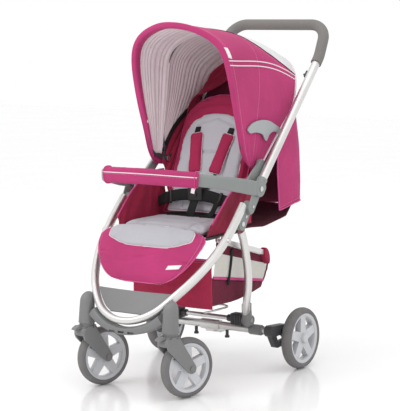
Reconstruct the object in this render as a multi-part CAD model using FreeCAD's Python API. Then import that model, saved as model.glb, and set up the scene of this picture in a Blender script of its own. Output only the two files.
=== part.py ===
import FreeCAD, Part
import math
import os

# Baby stroller. Millimetres. +X is the child's left, the stroller faces -Y, +Z is up, the ground is Z = 0.
# All stations below are measured from the rear axle line; Y0 then centres the whole on the row's origin.
V = FreeCAD.Vector

# ---- driving dimensions -------------------------------------------------------------------------------------
Y0 = 138.2                 # shift that centres the overall length on the origin
REAR_R, REAR_W = 95.0, 36.0          # rear tyre radius and width
FRONT_R, FRONT_W = 88.4, 34.0        # front tyre radius and width
REAR_TRACK = 512.0                   # between the rear wheels' middles
REAR_RIM_R, FRONT_RIM_R = 77.0, 72.0
CASTER_X, CASTER_Y = 151.5, -544.0   # caster pivots
TRAIL, SWIVEL = 56.0, 18.0           # caster trail, and the way both casters stand turned at rest
COLLAR_Z = 187.5
LOOP_A, LOOP_B = 14.0, 10.5          # half sizes of the flat oval front tube
PUSH_R = 13.3                        # push tube radius
PUSH_X, GRIP_X, TOP_X = 215.2, 190.3, 178.0   # the push tubes close in towards the handle
GRIP_R = 17.4
JY, JZ = -204.0, 580.0               # main folding hinge
LY, LZ = -270.0, 481.0               # rear leg pivot
PIN_R, RUN = 5.0, 0.05               # hinge pin radius and running clearance
HOOD_Y, HOOD_Z = -120.0, 645.0       # hood bow pivot
HOOD_X = 172.5                       # inside of the canopy's side
REC_Y, REC_Z = -168.0, 466.0         # backrest recline pivot
LEG_Y, LEG_Z = -372.0, 446.0         # calf rest pivot
AX_Y, AX_Z = -112.0, 131.0           # lower rear cross tube
T = 3.0                              # fabric thickness

os.makedirs("parts", exist_ok=True)
NODES = {}


def keep(name, shape):
    NODES[name] = shape


# ---- helpers ------------------------------------------------------------------------------------------------
def box(x0, x1, y0, y1, z0, z1):
    return Part.makeBox(x1 - x0, y1 - y0, z1 - z0, V(x0, y0, z0))


def cyl(p, d, r, h):
    return Part.makeCylinder(r, h, V(*p), V(*d))


def mir(shape):
    return shape.mirror(V(0, 0, 0), V(1, 0, 0))


def poly_x(pts, x0, x1):
    w = Part.makePolygon([V(x0, y, z) for y, z in pts] + [V(x0, pts[0][0], pts[0][1])])
    return Part.Face(w).extrude(V(x1 - x0, 0, 0))


def capsule_x(p, q, rp, rq, x0, x1):
    """Plate along X whose outline is the hull of two circles, centres p and q as (y, z)."""
    dy, dz = q[0] - p[0], q[1] - p[1]
    d = math.hypot(dy, dz)
    a = math.atan2(dz, dy)
    b = math.acos((rp - rq) / d)
    pts = []
    for s in (1, -1):
        c = a + s * b
        pts.append((V(x0, p[0] + rp * math.cos(c), p[1] + rp * math.sin(c)), V(x0, q[0] + rq * math.cos(c), q[1] + rq * math.sin(c))))
    back = V(x0, p[0] - rp * math.cos(a), p[1] - rp * math.sin(a))
    front = V(x0, q[0] + rq * math.cos(a), q[1] + rq * math.sin(a))
    w = Part.Wire([
        Part.makeLine(pts[0][0], pts[0][1]),
        Part.Arc(pts[0][1], front, pts[1][1]).toShape(),
        Part.makeLine(pts[1][1], pts[1][0]),
        Part.Arc(pts[1][0], back, pts[0][0]).toShape(),
    ])
    return Part.Face(w).extrude(V(x1 - x0, 0, 0))


def spline(pts):
    c = Part.BSplineCurve()
    c.interpolate([V(*p) for p in pts])
    return c


def section(p, u, w, a, b, e, n=20):
    """Closed super-ellipse of half sizes a along u and b along w, exponent e."""
    out = []
    for i in range(n):
        t = 2 * math.pi * i / n
        c, s = math.cos(t), math.sin(t)
        out.append(p + u * (a * math.copysign(abs(c) ** (2 / e), c)) + w * (b * math.copysign(abs(s) ** (2 / e), s)))
    c = Part.BSplineCurve()
    c.interpolate(Points=out, PeriodicFlag=True)
    return Part.Wire(c.toShape())


def bar(pts, a, b, up, n=20, e=2.0, sizes=None, lo=0.0, hi=1.0):
    """Solid along a spline. a is the half size along up, b across it; sizes(t) may give (a, b) along the length."""
    c = spline(pts)
    k0, k1 = c.FirstParameter, c.LastParameter
    L = c.length()
    wires = []
    for i in range(n + 1):
        t = lo + (hi - lo) * i / n
        k = c.parameterAtDistance(L * t, k0)
        p, d = c.value(k), c.tangent(k)[0]
        g = up(t) if callable(up) else up
        u = V(*g)
        u = u - d * u.dot(d)
        u.normalize()
        w = d.cross(u)
        aa, bb = sizes(t) if sizes else (a, b)
        wires.append(section(p, u, w, aa, bb, e))
    return Part.makeLoft(wires, True, False)


def rod(pts, r, spl=False):
    """Round rod of radius r. Straight runs with corners rounded at 3r or more by the caller, or one spline."""
    if spl:
        path = Part.Wire(spline(pts).toShape())
    else:
        path = Part.Wire(Part.makePolygon([V(*p) for p in pts]))
    e = path.Edges[0]
    p, d = e.valueAt(e.FirstParameter), e.tangentAt(e.FirstParameter)
    c = Part.Wire(Part.makeCircle(r, p, d))
    return path.makePipeShell([c], True, True)


def bent(pts, radii, r):
    """Round rod through corner points with a true arc of the given radius at each inner corner."""
    P = [V(*p) for p in pts]
    edges, at = [], P[0]
    for i in range(1, len(P) - 1):
        a, b = (P[i - 1] - P[i]), (P[i + 1] - P[i])
        a.normalize()
        b.normalize()
        ang = math.acos(max(-1, min(1, a.dot(b))))
        t = radii[i - 1] / math.tan(ang / 2)
        s, f = P[i] + a * t, P[i] + b * t
        m = a + b
        m.normalize()
        mid = P[i] + m * (radii[i - 1] / math.sin(ang / 2) - radii[i - 1])
        edges += [Part.makeLine(at, s), Part.Arc(s, mid, f).toShape()]
        at = f
    edges.append(Part.makeLine(at, P[-1]))
    path = Part.Wire(edges)
    d = P[1] - P[0]
    return path, lambda rr: path.makePipeShell([Part.Wire(Part.makeCircle(rr, P[0], d))], True, True)


def sheet(fn, nu, nv, t, side=0.5):
    """Thin solid on the surface fn(u, v), u and v in 0..1. side is the share of t on the +normal side."""
    e = 1e-4

    def nrm(u, v):
        u0, u1, v0, v1 = max(0, u - e), min(1, u + e), max(0, v - e), min(1, v + e)
        du = V(*fn(u1, v)) - V(*fn(u0, v))
        dv = V(*fn(u, v1)) - V(*fn(u, v0))
        n = du.cross(dv)
        n.normalize()
        return n

    G = {}
    for s, off in ((0, -t * (1 - side)), (1, t * side)):
        G[s] = [[V(*fn(i / nu, j / nv)) + nrm(i / nu, j / nv) * off for j in range(nv + 1)] for i in range(nu + 1)]
    S = []
    for s in (0, 1):
        b = Part.BSplineSurface()
        b.interpolate(G[s])
        S.append(b)
    faces = [b.toShape() for b in S]
    for get in (
        lambda b: b.uIso(b.bounds()[0]), lambda b: b.uIso(b.bounds()[1]),
        lambda b: b.vIso(b.bounds()[2]), lambda b: b.vIso(b.bounds()[3]),
    ):
        faces.append(Part.makeRuledSurface(get(S[0]).toShape(), get(S[1]).toShape()))
    sh = Part.makeShell(faces)
    sh.sewShape()
    so = Part.makeSolid(sh if sh.ShapeType == "Shell" else sh.Shells[0])
    so.fix(0.01, 0.01, 0.01)
    if so.Volume < 0:
        so.reverse()
    return so


def lin(xs, ys, x):
    if x <= xs[0]:
        return ys[0]
    for i in range(1, len(xs)):
        if x <= xs[i]:
            t = (x - xs[i - 1]) / (xs[i] - xs[i - 1])
            return ys[i - 1] + (ys[i] - ys[i - 1]) * t
    return ys[-1]


def smooth_table(rows, ends=None):
    """Natural cubic through rows of (x, y)."""
    xs, ys = [r[0] for r in rows], [r[1] for r in rows]
    n = len(xs)
    h = [xs[i + 1] - xs[i] for i in range(n - 1)]
    al = [0.0] + [3 * ((ys[i + 1] - ys[i]) / h[i] - (ys[i] - ys[i - 1]) / h[i - 1]) for i in range(1, n - 1)]
    l, mu, z = [1.0] * n, [0.0] * n, [0.0] * n
    for i in range(1, n - 1):
        l[i] = 2 * (xs[i + 1] - xs[i - 1]) - h[i - 1] * mu[i - 1]
        mu[i] = h[i] / l[i]
        z[i] = (al[i] - h[i - 1] * z[i - 1]) / l[i]
    c = [0.0] * n
    b, d = [0.0] * n, [0.0] * n
    for j in range(n - 2, -1, -1):
        c[j] = z[j] - mu[j] * c[j + 1]
        b[j] = (ys[j + 1] - ys[j]) / h[j] - h[j] * (c[j + 1] + 2 * c[j]) / 3
        d[j] = (c[j + 1] - c[j]) / (3 * h[j])

    def f(x):
        i = 0
        while i < n - 2 and x > xs[i + 1]:
            i += 1
        t = x - xs[i]
        return ys[i] + b[i] * t + c[i] * t * t + d[i] * t ** 3

    return f


def pair(shape):
    return [shape, mir(shape)]


def group(name, shapes):
    """One node of separate solids."""
    keep(name, Part.makeCompound(shapes))


# ---- front loop: one flat oval tube down both sides and round under the footrest ----------------------------------
half = [(218.5, -262, 536), (219.5, -303, 495), (217, -352, 445), (206, -404, 396), (186, -450, 352), (166, -483, 321),
        (144, -509, 294), (119, -531, 267), (91, -548, 245), (60, -560, 231), (30, -566, 223), (0, -568, 220.5)]
loop_pts = half + [(-x, y, z) for x, y, z in reversed(half[:-1])]


def loop_up(t):
    s = min(t, 1 - t) * 2
    ang = math.radians(132 + 26 * min(1, s * 1.15))
    return (0, math.cos(ang), math.sin(ang))


front_loop = bar(loop_pts, LOOP_A, LOOP_B, loop_up, n=46, e=2.4)
keep("front_loop", front_loop)

# ---- caster housings, with a blind bore for each stem, and the bridge between them under the loop ----------------
hz0, hz1 = 197.0, 287.0


def housing():
    rings = []
    for z, a, b, dy in ((hz0, 24, 25, 0), (206, 23, 24, 0), (230, 21.5, 23, 1), (255, 20.5, 22, 3), (272, 18, 20, 5), (281, 13, 15.5, 7), (hz1, 5, 7, 8)):
        rings.append(section(V(CASTER_X, CASTER_Y + dy, z), V(1, 0, 0), V(0, 1, 0), a, b, 2.3))
    s = Part.makeLoft(rings, True, False)
    s = s.cut(cyl((CASTER_X, CASTER_Y, hz0 - 5), (0, 0, 1), 8 + RUN, 72))
    return s


hs = housing().cut(bar(loop_pts, LOOP_A + 0.02, LOOP_B + 0.02, loop_up, n=46, e=2.4))

bridge_path = [(-124, -542, 232), (-100, -546, 216), (-60, -556, 200), (0, -563, 190.5), (60, -556, 200), (100, -546, 216), (124, -542, 232)]
bridge = bar(bridge_path, 11.5, 17, (0, 0, 1), n=24, e=3.2, sizes=lambda t: (11.5 + 6 * abs(2 * t - 1) ** 2, 17 + 2 * abs(2 * t - 1)))
for x in (-34, 0, 34):
    bridge = bridge.cut(box(x - 11, x + 11, -590, -572, 186, 192))
bridge = bridge.fuse(hs).fuse(mir(hs)).removeSplitter()
for x in (CASTER_X, -CASTER_X):
    bridge = bridge.cut(cyl((x, CASTER_Y, hz0 - 5), (0, 0, 1), 8 + RUN, 72))
keep("caster_bridge", max(bridge.Solids, key=lambda q: q.Volume))

# ---- footrest: a dished front face between the loop's arms and a shallow tread above it --------------------------
fy = smooth_table([(220.5, -568), (231, -560), (245, -548), (267, -531), (294, -509), (321, -483)])


def foot(u, v):
    z = 240 + (298 - 240) * v
    w = lin([236, 245, 256, 267, 280, 294, 321], [50, 72, 90, 103, 117, 130, 152], z)
    x = (2 * u - 1) * w
    return (x, fy(z) + 4 - 9 * (1 - (2 * u - 1) ** 2) * v, z)


footrest = sheet(foot, 14, 8, 5)
tread = []
top = [foot(i / 16, 1) for i in range(17)]
pl = [V(x, y + 2.0, 294) for x, y, z in top] + [V(136, -470, 294), V(-136, -470, 294)]
tread = Part.Face(Part.makePolygon(pl + [pl[0]])).extrude(V(0, 0, 4))
footrest = footrest.fuse(tread).removeSplitter()
clear = bar(loop_pts, LOOP_A + 0.4, LOOP_B + 0.4, loop_up, n=46, e=2.4)
footrest = footrest.cut(clear)
footrest = max(footrest.Solids, key=lambda s: s.Volume)
keep("footrest", footrest)

# ---- hinge housings behind the front tube, hinge pins, hood brackets ---------------------------------------------
ux, uz = (LY - JY), (LZ - JZ)
ul = math.hypot(ux, uz)
ux, uz = ux / ul, uz / ul


def along(d, off=0.0):
    """Point d down the housing from the hinge, off to the rear."""
    return (JY + ux * d - uz * off, JZ + uz * d + ux * off)


def hinge_housing():
    cheek = capsule_x((JY, JZ), along(66), 21, 16, 232.0, 235.0)
    filler = capsule_x(along(54, 4), along(70, 3), 13.0, 13.5, 207.0, 232.0)
    lower = capsule_x(along(54, 4), (LY, LZ), 13.5, 19, 207.0, 222.5)
    s = cheek.fuse(filler).fuse(lower).removeSplitter()
    s = s.cut(cyl((190, JY, JZ), (1, 0, 0), PIN_R, 60))
    s = s.cut(clear)
    s = s.cut(cyl((190, LY, LZ), (1, 0, 0), PIN_R, 60))
    return max(s.removeSplitter().Solids, key=lambda q: q.Volume)


housings = pair(hinge_housing())
group("hinge_housings", housings)

pin = cyl((188.4, JY, JZ), (1, 0, 0), PIN_R, 57.0).fuse(cyl((245.4, JY, JZ), (1, 0, 0), 8, 2.4)).removeSplitter()
leg_pin = cyl((184, LY, LZ), (1, 0, 0), PIN_R, 38.5).fuse(cyl((222.5, LY, LZ), (1, 0, 0), 7.5, 2.4)).removeSplitter()
hood_pin = cyl((152.4, HOOD_Y, HOOD_Z), (1, 0, 0), 4, 43.0).fuse(cyl((149.4, HOOD_Y, HOOD_Z), (1, 0, 0), 8, 3)).removeSplitter()
group("pivot_pins", pair(pin) + pair(leg_pin) + pair(hood_pin))
rv = []
for d, x in ((58, 235.0), (92, 222.5)):
    y, z = along(d, 4)
    rv.append(cyl((x, y, z), (1, 0, 0), 4.0, 1.8))
fasteners = rv + [mir(r) for r in rv]


def hood_bracket():
    s = capsule_x((JY, JZ), (HOOD_Y, HOOD_Z), 17, 14, 188.6, 195.4)
    s = s.fuse(cyl((181.6, HOOD_Y, HOOD_Z), (1, 0, 0), 12, 10)).removeSplitter()
    s = s.cut(cyl((150, JY, JZ), (1, 0, 0), PIN_R, 90))
    s = s.cut(cyl((150, HOOD_Y, HOOD_Z), (1, 0, 0), 4, 60))
    return s


group("hood_brackets", pair(hood_bracket()))

# ---- seat frame: side bars bolted through the front tube, and the seat board -------------------------------------
bar_a, bar_b = (-322.0, 436.0), (-72.0, 366.0)


def seat_bar():
    dy, dz = bar_b[0] - bar_a[0], bar_b[1] - bar_a[1]
    d = math.hypot(dy, dz)
    ny, nz = -dz / d, dy / d
    h = 8
    pts = [(bar_a[0] - ny * h, bar_a[1] - nz * h), (bar_b[0] - ny * h, bar_b[1] - nz * h), (bar_b[0] + ny * h, bar_b[1] + nz * h), (bar_a[0] + ny * h, bar_a[1] + nz * h)]
    s = poly_x(pts, 163, 173)
    s = s.fuse(cyl((163, bar_a[0], bar_a[1]), (1, 0, 0), 8.0, 10)).removeSplitter()
    return s.makeFillet(2.5, [e for e in s.Edges if e.Length > 200 and abs(e.tangentAt(e.FirstParameter).x) < 0.1])


sb = seat_bar()
b2 = capsule_x((bar_a[0], bar_a[1]), (-353, 446), 9, 9, 200.5, 204.5).fuse(cyl((173, bar_a[0], bar_a[1]), (1, 0, 0), 6, 27.6)).removeSplitter()
b2 = b2.cut(clear)
b2 = max(b2.Solids, key=lambda q: q.Volume)
group("seat_bars", pair(sb) + pair(b2))
bh = cyl((226.0, -354, 443), (1, 0, 0), 7, 5.5).cut(front_loop)
bh = max(bh.Solids, key=lambda q: q.Volume)
group("frame_fasteners", fasteners + pair(bh))

board = poly_x([(-368, 440), (-368, 446), (-176, 448), (-176, 442)], -162.5, 162.5)
keep("seat_board", board)

# ---- seat cushion: grey pad on the board, rolling over the front edge ----------------------------------------------
seat_up = smooth_table([(-376, 468), (-340, 477), (-290, 476), (-230, 470), (-184, 468)])


def pillow(x0, x1, y0, y1, z_low, z_top, r=12):
    s = box(x0, x1, y0, y1, z_low, z_top)
    return s.makeFillet(r, s.Edges)


seat = poly_x([(-376, 450), (-380, 462), (-374, 472), (-350, 478), (-290, 477), (-230, 472), (-186, 470), (-181, 462), (-181, 450)], -150, 150)
seat = seat.makeFillet(6, [e for e in seat.Edges if abs(abs(e.CenterOfMass.x) - 150) < 0.5 and e.CenterOfMass.z > 455])
keep("seat_cushion", seat)

# ---- seat side walls: fabric from the cushion up to the frame on each side -----------------------------------------


def side_wall(u, v):
    # u along Y from the front to the back, v up
    y = -366 + 214 * u
    z1 = lin([-366, -330, -290, -230, -152], [486, 520, 556, 596, 610], y)
    z0 = lin([-366, -200, -152], [450, 450, 462], y)
    x = lin([0, 0.35, 1], [158, 163, 173], v) + 3 * math.sin(math.pi * u) * v
    return (x, y + 6 * v, z0 + (z1 - z0) * v)


group("seat_sides", pair(sheet(side_wall, 12, 8, T)))

# ---- calf rest: padded apron hinged at the seat's front edge --------------------------------------------------------
edge = smooth_table([(0, 150), (0.10, 178), (0.25, 190), (0.45, 183), (0.62, 168), (0.78, 144), (0.90, 112), (0.97, 76), (1.0, 48)])
arc_y = smooth_table([(0, -384), (0.12, -399), (0.3, -418), (0.55, -448), (0.8, -476), (1.0, -493)])
arc_z = smooth_table([(0, 466), (0.12, 458), (0.3, 436), (0.55, 393), (0.8, 346), (1.0, 313)])


def apron(u, v):
    x = (2 * u - 1) * edge(v)
    k = (2 * u - 1) ** 2
    return (x, arc_y(v) - 10 * (1 - k) * math.sin(math.pi * min(1, v * 0.8)) - 6 * k, arc_z(v) + 2 * (1 - k))


ap = sheet(apron, 16, 14, 12, 0.5)
ap = ap.cut(cyl((-200, LEG_Y, LEG_Z), (1, 0, 0), 12.5, 400))
ap = max(ap.Solids, key=lambda q: q.Volume)
keep("calf_apron", ap)


def apron_pad(u, v):
    p = apron(0.12 + 0.76 * u, 0.13 + 0.33 * v)
    return (p[0], p[1] - 8.3, p[2] + 8.7)


pad = sheet(apron_pad, 16, 10, 7.2, 0.5)
lobe = Part.makeCylinder(1, 200, V(0, 0, -100))
lobe = lobe.transformGeometry(FreeCAD.Matrix(142, 0, 0, 0, 0, 62, 0, 0, 0, 0, 1, 0, 0, 0, 0, 1))
lobe = lobe.fuse(box(-142, 142, 0, 90, -100, 100)).removeSplitter()
lobe.Placement = FreeCAD.Placement(V(0, -420, 458), FreeCAD.Rotation(V(1, 0, 0), 48))
pad = max(pad.common(lobe).Solids, key=lambda q: q.Volume)
keep("calf_pad", pad)
group("seat_cross_rods", [cyl((-158, LEG_Y, LEG_Z), (1, 0, 0), 4, 316), cyl((-157, REC_Y, REC_Z), (1, 0, 0), 4, 314)])

# ---- push frame ------------------------------------------------------------------------------------------------------
P0 = V(PUSH_X, -173.8, 577.7)          # on the tube's line, beside the hinge
P1 = V(GRIP_X, 208.9, 932.0)           # where the grip starts
P2 = V(TOP_X, 297.0, 1051.0)           # the handle's corner
D = P1 - P0
D.normalize()


def on_tube(s):
    return P0 + D * s


low_end = on_tube(-22)
mx = lambda p: V(-p.x, p.y, p.z)
path, pipe = bent([tuple(low_end), tuple(P1 + D * 30), tuple(P2), tuple(mx(P2)), tuple(mx(P1 + D * 30)), tuple(mx(low_end))], [150, 62, 62, 150], PUSH_R)
whole = pipe(PUSH_R)


def halfspace(sign, c, d):
    b = Part.makeBox(1400, 1400, 900, V(-700, -700, 0 if sign > 0 else -900))
    b.Placement = FreeCAD.Placement(c, FreeCAD.Rotation(V(0, 0, 1), d))
    return b


Dm = V(0, D.y, D.z)
cutp = V(0, P1.y, P1.z)
low = whole.cut(halfspace(1, cutp, Dm))
tubes = sorted(low.Solids, key=lambda q: -q.CenterOfMass.x)
tube_near = tubes[0]
upper = max(whole.common(halfspace(1, cutp, Dm)).Solids, key=lambda q: q.Volume)
grip = pipe(GRIP_R).common(halfspace(1, cutp, Dm)).cut(pipe(PUSH_R))
grip = max(grip.Solids, key=lambda q: q.Volume)


def knuckle():
    s = cyl((204.4, JY, JZ), (1, 0, 0), 15, 27.0)
    a0, a1 = on_tube(-24), on_tube(34)
    s = s.fuse(Part.makeCylinder(16.2, 58, a0, D).common(box(203.6, 231.4, -400, 200, 500, 700)))
    s = s.fuse(capsule_x((JY, JZ), (on_tube(4).y, on_tube(4).z), 15, 16, 204.4, 231.4)).removeSplitter()
    s = s.cut(cyl((190, JY, JZ), (1, 0, 0), PIN_R + RUN, 60))
    s = s.cut(tube_near)
    return max(s.Solids, key=lambda q: q.Volume)


group("push_tubes", pair(tube_near))
group("push_knuckles", pair(knuckle()))
keep("handle_bar", upper)
keep("handle_grip", grip)


def release(s0):
    """Thumb slide on the inner side of the tube."""
    b = Part.makeBox(7, 12, 26, V(-PUSH_R - 6.6, -6, -13))
    b = b.makeFillet(2.2, b.Edges)
    b = b.fuse(Part.makeCylinder(3.6, 6, V(-PUSH_R - 12, 0, 0), V(1, 0, 0))).removeSplitter()
    b.Placement = FreeCAD.Placement(on_tube(s0), FreeCAD.Rotation(V(0, 0, 1), D))
    b = b.cut(Part.makeCylinder(PUSH_R + 0.4, 900, on_tube(-100), D))
    return max(b.Solids, key=lambda q: q.Volume)


group("fold_release", pair(release(474.0)))
print("push tube direction", [round(c, 5) for c in D])

# ---- bumper bar -------------------------------------------------------------------------------------------------------
bh2 = [(240.4, JY - 2, JZ + 0.5), (239.6, -238, 586), (235, -280, 595), (226, -326, 604.5), (212, -366, 612.5), (190, -397, 618.5), (158, -419, 622.5), (118, -431, 624.5), (60, -437, 626), (0, -439, 626.5)]
bp = bh2 + [(-x, y, z) for x, y, z in reversed(bh2[:-1])]


def bump_size(t):
    s = min(t, 1 - t) * 2
    return (lin([0, 0.15, 0.45, 1], [21, 22, 19, 17], s), lin([0, 0.1, 0.3, 1], [3.6, 4.2, 8, 9], s))


bump = bar(bp, 20, 8, (0, 0, 1), n=20, e=3.0, sizes=bump_size, hi=0.5).fuse(bar(bp, 20, 8, (0, 0, 1), n=20, e=3.0, sizes=bump_size, lo=0.5))
hub = cyl((235.6, JY, JZ), (1, 0, 0), 24, 9.4)
hubs = hub.makeChamfer(1.0, [e for e in hub.Edges if e.CenterOfMass.x > 240 and e.Length > 100])
bump = bump.cut(box(-300, 300, JY - 16, 400, 300, 900)).cut(cyl((-300, JY, JZ), (1, 0, 0), 24.06, 600))
bump = max(bump.Solids, key=lambda q: q.Volume)
hubs = hubs.cut(cyl((-300, JY, JZ), (1, 0, 0), PIN_R + RUN, 600))
group("bumper_bar", [bump] + pair(hubs))

c = spline(bp)


def sub_path(p, lo, hi, n):
    c = spline(p)
    L = c.length()
    out = []
    for i in range(n + 1):
        out.append(tuple(c.value(c.parameterAtDistance(L * (lo + (hi - lo) * i / n), c.FirstParameter))))
    return out


sl = sub_path(bp, 0.29, 0.71, 14)
outer = bar(sl, 24, 16, (0, 0, 1), n=22, e=2.6, sizes=lambda t: (24.0, 16.0) if 0.02 < t < 0.98 else (21.5, 13.5))
bumper_ref = bar(bp, 20, 8, (0, 0, 1), n=40, e=3.0, sizes=lambda t: tuple(q + 0.05 for q in bump_size(t)))
sleeve = outer.cut(bumper_ref)
keep("bumper_sleeve", max(sleeve.Solids, key=lambda q: q.Volume))

# ---- rear legs ---------------------------------------------------------------------------------------------------------
leg_pts = [(196.5, -241.5, 454.7), (194.5, -219.4, 408.6), (191.0, -202.6, 359.7), (186.5, -188.6, 310.7), (180.0, -180.8, 262.1), (171.0, -175.8, 219.6), (158, -153, 190)]


def rear_leg():
    s = bar(leg_pts, 13.5, 10.5, (0, 1, 0.2), n=16, e=2.3)
    return s


leg = rear_leg()
eye = cyl((187.0, LY, LZ), (1, 0, 0), 17.5, 19.0)
neck = bar([(197, LY - 2, LZ + 2), (197, LY + 7, LZ - 10), (196.6, LY + 16, LZ - 27)], 14.5, 9.4, (0, 1, 0.8), n=4, e=2.4)
leg = leg.fuse(neck).fuse(eye).removeSplitter()
leg = leg.cut(cyl((150, LY, LZ), (1, 0, 0), PIN_R + RUN, 100))
leg = max(leg.Solids, key=lambda q: q.Volume)
group("rear_legs", pair(leg))


CL_R = 16.2                      # clamp on the lower cross tube


def foot_joint():
    s = bar([(165, -164.5, 219), (160, -157, 198), (155, -147, 179), (151, -138, 163), (149.5, -131, 152)], 15.5, 13, (0, 1, 0.3), n=8, e=2.8)
    s = s.fuse(cyl((134.0, -134, 163), (1, 0, 0), 15.5, 30)).removeSplitter()
    s = s.cut(leg)
    s = s.cut(cyl((120, AX_Y, AX_Z), (1, 0, 0), CL_R, 80))
    s = s.cut(cyl((100, -134, 163), (1, 0, 0), 7.0, 66))
    return max(s.Solids, key=lambda q: q.Volume)


foot_n = foot_joint()
group("leg_feet", pair(foot_n))
stub = cyl((140, AX_Y, AX_Z), (1, 0, 0), 9.5, 74).cut(cyl((130, AX_Y, AX_Z), (1, 0, 0), 6.5, 72))
cross = cyl((-174, AX_Y, AX_Z), (1, 0, 0), 12.5, 348).cut(cyl((-175, AX_Y, AX_Z), (1, 0, 0), 9.5, 36)).cut(cyl((139, AX_Y, AX_Z), (1, 0, 0), 9.5, 36))
group("rear_cross_tubes", [cross, cyl((-164, -134, 163), (1, 0, 0), 7.0, 328)] + pair(stub))


def clamp():
    s = cyl((146.0, AX_Y, AX_Z), (1, 0, 0), CL_R, 38).cut(cyl((145, AX_Y, AX_Z), (1, 0, 0), 12.5, 29))
    s = s.cut(cyl((170, AX_Y, AX_Z), (1, 0, 0), 9.5, 20))
    t = cyl((184.0, AX_Y, AX_Z), (1, 0, 0), 13.4, 6).cut(cyl((180, AX_Y, AX_Z), (1, 0, 0), 9.5, 20))
    s = s.fuse(t).removeSplitter()
    return max(s.Solids, key=lambda q: q.Volume)


group("axle_clamps", pair(clamp()))


def wheel_bracket():
    """Trailing arm from the stub back and down to the wheel axle."""
    y1, z1 = 0.0, REAR_R
    s = capsule_x((AX_Y, AX_Z), (-38, 128), 17, 14, 203, 229)
    s = s.fuse(capsule_x((-38, 126), (y1, z1), 16, 15, 203, 229))
    s = s.fuse(poly_x([(AX_Y - 6, AX_Z - 12), (-92, 78), (-80, 74), (y1, z1 - 12), (y1, z1 + 2), (-76, 91), (AX_Y + 18, AX_Z - 6)], 206, 223))
    s = s.removeSplitter()
    s = s.cut(cyl((150, AX_Y, AX_Z), (1, 0, 0), 9.5, 64))
    s = s.cut(cyl((150, y1, z1), (1, 0, 0), 6.0, 100))
    for k in range(4):
        yy = -70 + k * 13
        s = s.cut(box(224.6, 230, yy, yy + 6, 119, 133))
    return max(s.Solids, key=lambda q: q.Volume)


group("wheel_brackets", pair(wheel_bracket()) + pair(cyl((206, 0, REAR_R), (1, 0, 0), 6.0, 72)))


def brake_box():
    s = box(96, 132.9, -151, -117, 146, 181)
    s = s.makeFillet(5, [e for e in s.Edges if abs(e.tangentAt(e.FirstParameter).x) > 0.9])
    s = s.fuse(cyl((78, -134, 163), (1, 0, 0), 11, 20)).removeSplitter()
    for k in range(5):
        x = 101 + k * 6.2
        ring = box(x, x + 2.6, -160, -110, 140, 190).cut(box(x - 1, x + 4, -148.6, -119.4, 148.4, 178.6))
        s = s.cut(ring)
    s = s.cut(cyl((50, -134, 163), (1, 0, 0), 7.0, 120))
    s = s.cut(cyl((-200, AX_Y, AX_Z), (1, 0, 0), 12.5, 400))
    return max(s.Solids, key=lambda q: q.Volume)


bb = brake_box()

# ---- brake bar: a pedal that turns on the lower cross tube -----------------------------------------------------------
ped = cyl((-34, AX_Y, AX_Z), (1, 0, 0), 16.5, 68)
pd = box(-30, 30, AX_Y + 8, AX_Y + 58, AX_Z - 26, AX_Z - 17)
pd = pd.makeFillet(3.5, pd.Edges)
web = box(-8, 8, AX_Y + 2, AX_Y + 24, AX_Z - 24, AX_Z - 6)
ped = ped.fuse(pd).fuse(web).removeSplitter().cut(cyl((-60, AX_Y, AX_Z), (1, 0, 0), 12.5 + RUN, 120))
keep("brake_pedal", max(ped.Solids, key=lambda q: q.Volume))
ft = []
for x in (-58, 58):
    f = cyl((x, AX_Y, AX_Z - 12), (0, 0, -1), 5, 18).fuse(cyl((x, AX_Y, AX_Z - 30), (0, 0, -1), 7.5, 6)).cut(cyl((-200, AX_Y, AX_Z), (1, 0, 0), 12.5, 400))
    ft.append(max(f.removeSplitter().Solids, key=lambda q: q.Volume))
group("brake_boxes", pair(bb) + ft)


# ---- wheels: five broad flat spokes, a light rim and a solid tyre -------------------------------------------------------
def revolve(profile, p0):
    w = Part.makePolygon([V(x, 0, r) for x, r in profile] + [V(profile[0][0], 0, profile[0][1])])
    f = Part.Face(w)
    s = f.revolve(V(0, 0, 0), V(1, 0, 0), 360)
    s.translate(V(*p0))
    return s


def tyre(R, W, ri):
    """Tyre section with a round crown, as one spline profile revolved about X."""
    h = W / 2
    top = []
    for i in range(13):
        a = math.radians(180 - 15 * i)
        top.append(V(h * math.cos(a), 0, (R - 13) + 13 * math.sin(a)))
    c = Part.BSplineCurve()
    c.interpolate(top)
    b0, b1 = V(-h + 3.5, 0, ri), V(h - 3.5, 0, ri)
    w = Part.Wire([Part.makeLine(b0, top[0]), c.toShape(), Part.makeLine(top[-1], b1), Part.makeLine(b1, b0)])
    return Part.Face(w).revolve(V(0, 0, 0), V(1, 0, 0), 360)


def rim(ro, W, hub_r, hub_w, bore, spoke):
    h = W / 2 - 3.5
    ring = revolve([(-h, ro), (h, ro), (h, ro - 4), (h - 3, ro - 9.0), (h - 8, ro - 10.5), (-h + 8, ro - 10.5), (-h + 3, ro - 9.0), (-h, ro - 4)], (0, 0, 0))
    body = cyl((-hub_w / 2, 0, 0), (1, 0, 0), hub_r, hub_w)
    s = ring.fuse(body)
    n = 5
    for k in range(n):
        a = math.radians(90 + 72 * k)
        w0, w1 = spoke * 0.62, spoke * 0.50
        pts = [(hub_r * 0.5, -w0), (ro - 9.5, -w1), (ro - 9.5, w1), (hub_r * 0.5, w0)]
        q = [(r * math.cos(a) - t * math.sin(a), r * math.sin(a) + t * math.cos(a)) for r, t in pts]
        sp = poly_x(q, -h + 4.5, h - 4.5)
        s = s.fuse(sp)
    web = cyl((-h + 4.5, 0, 0), (1, 0, 0), hub_r * 1.75, 2 * h - 9)
    s = s.fuse(web).removeSplitter()
    s = s.cut(cyl((-100, 0, 0), (1, 0, 0), bore, 200))
    return s


def placed(s, p, rz=0.0):
    q = s.copy()
    if rz:
        q.rotate(V(0, 0, 0), V(0, 0, 1), rz)
    q.translate(V(*p))
    return q


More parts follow.
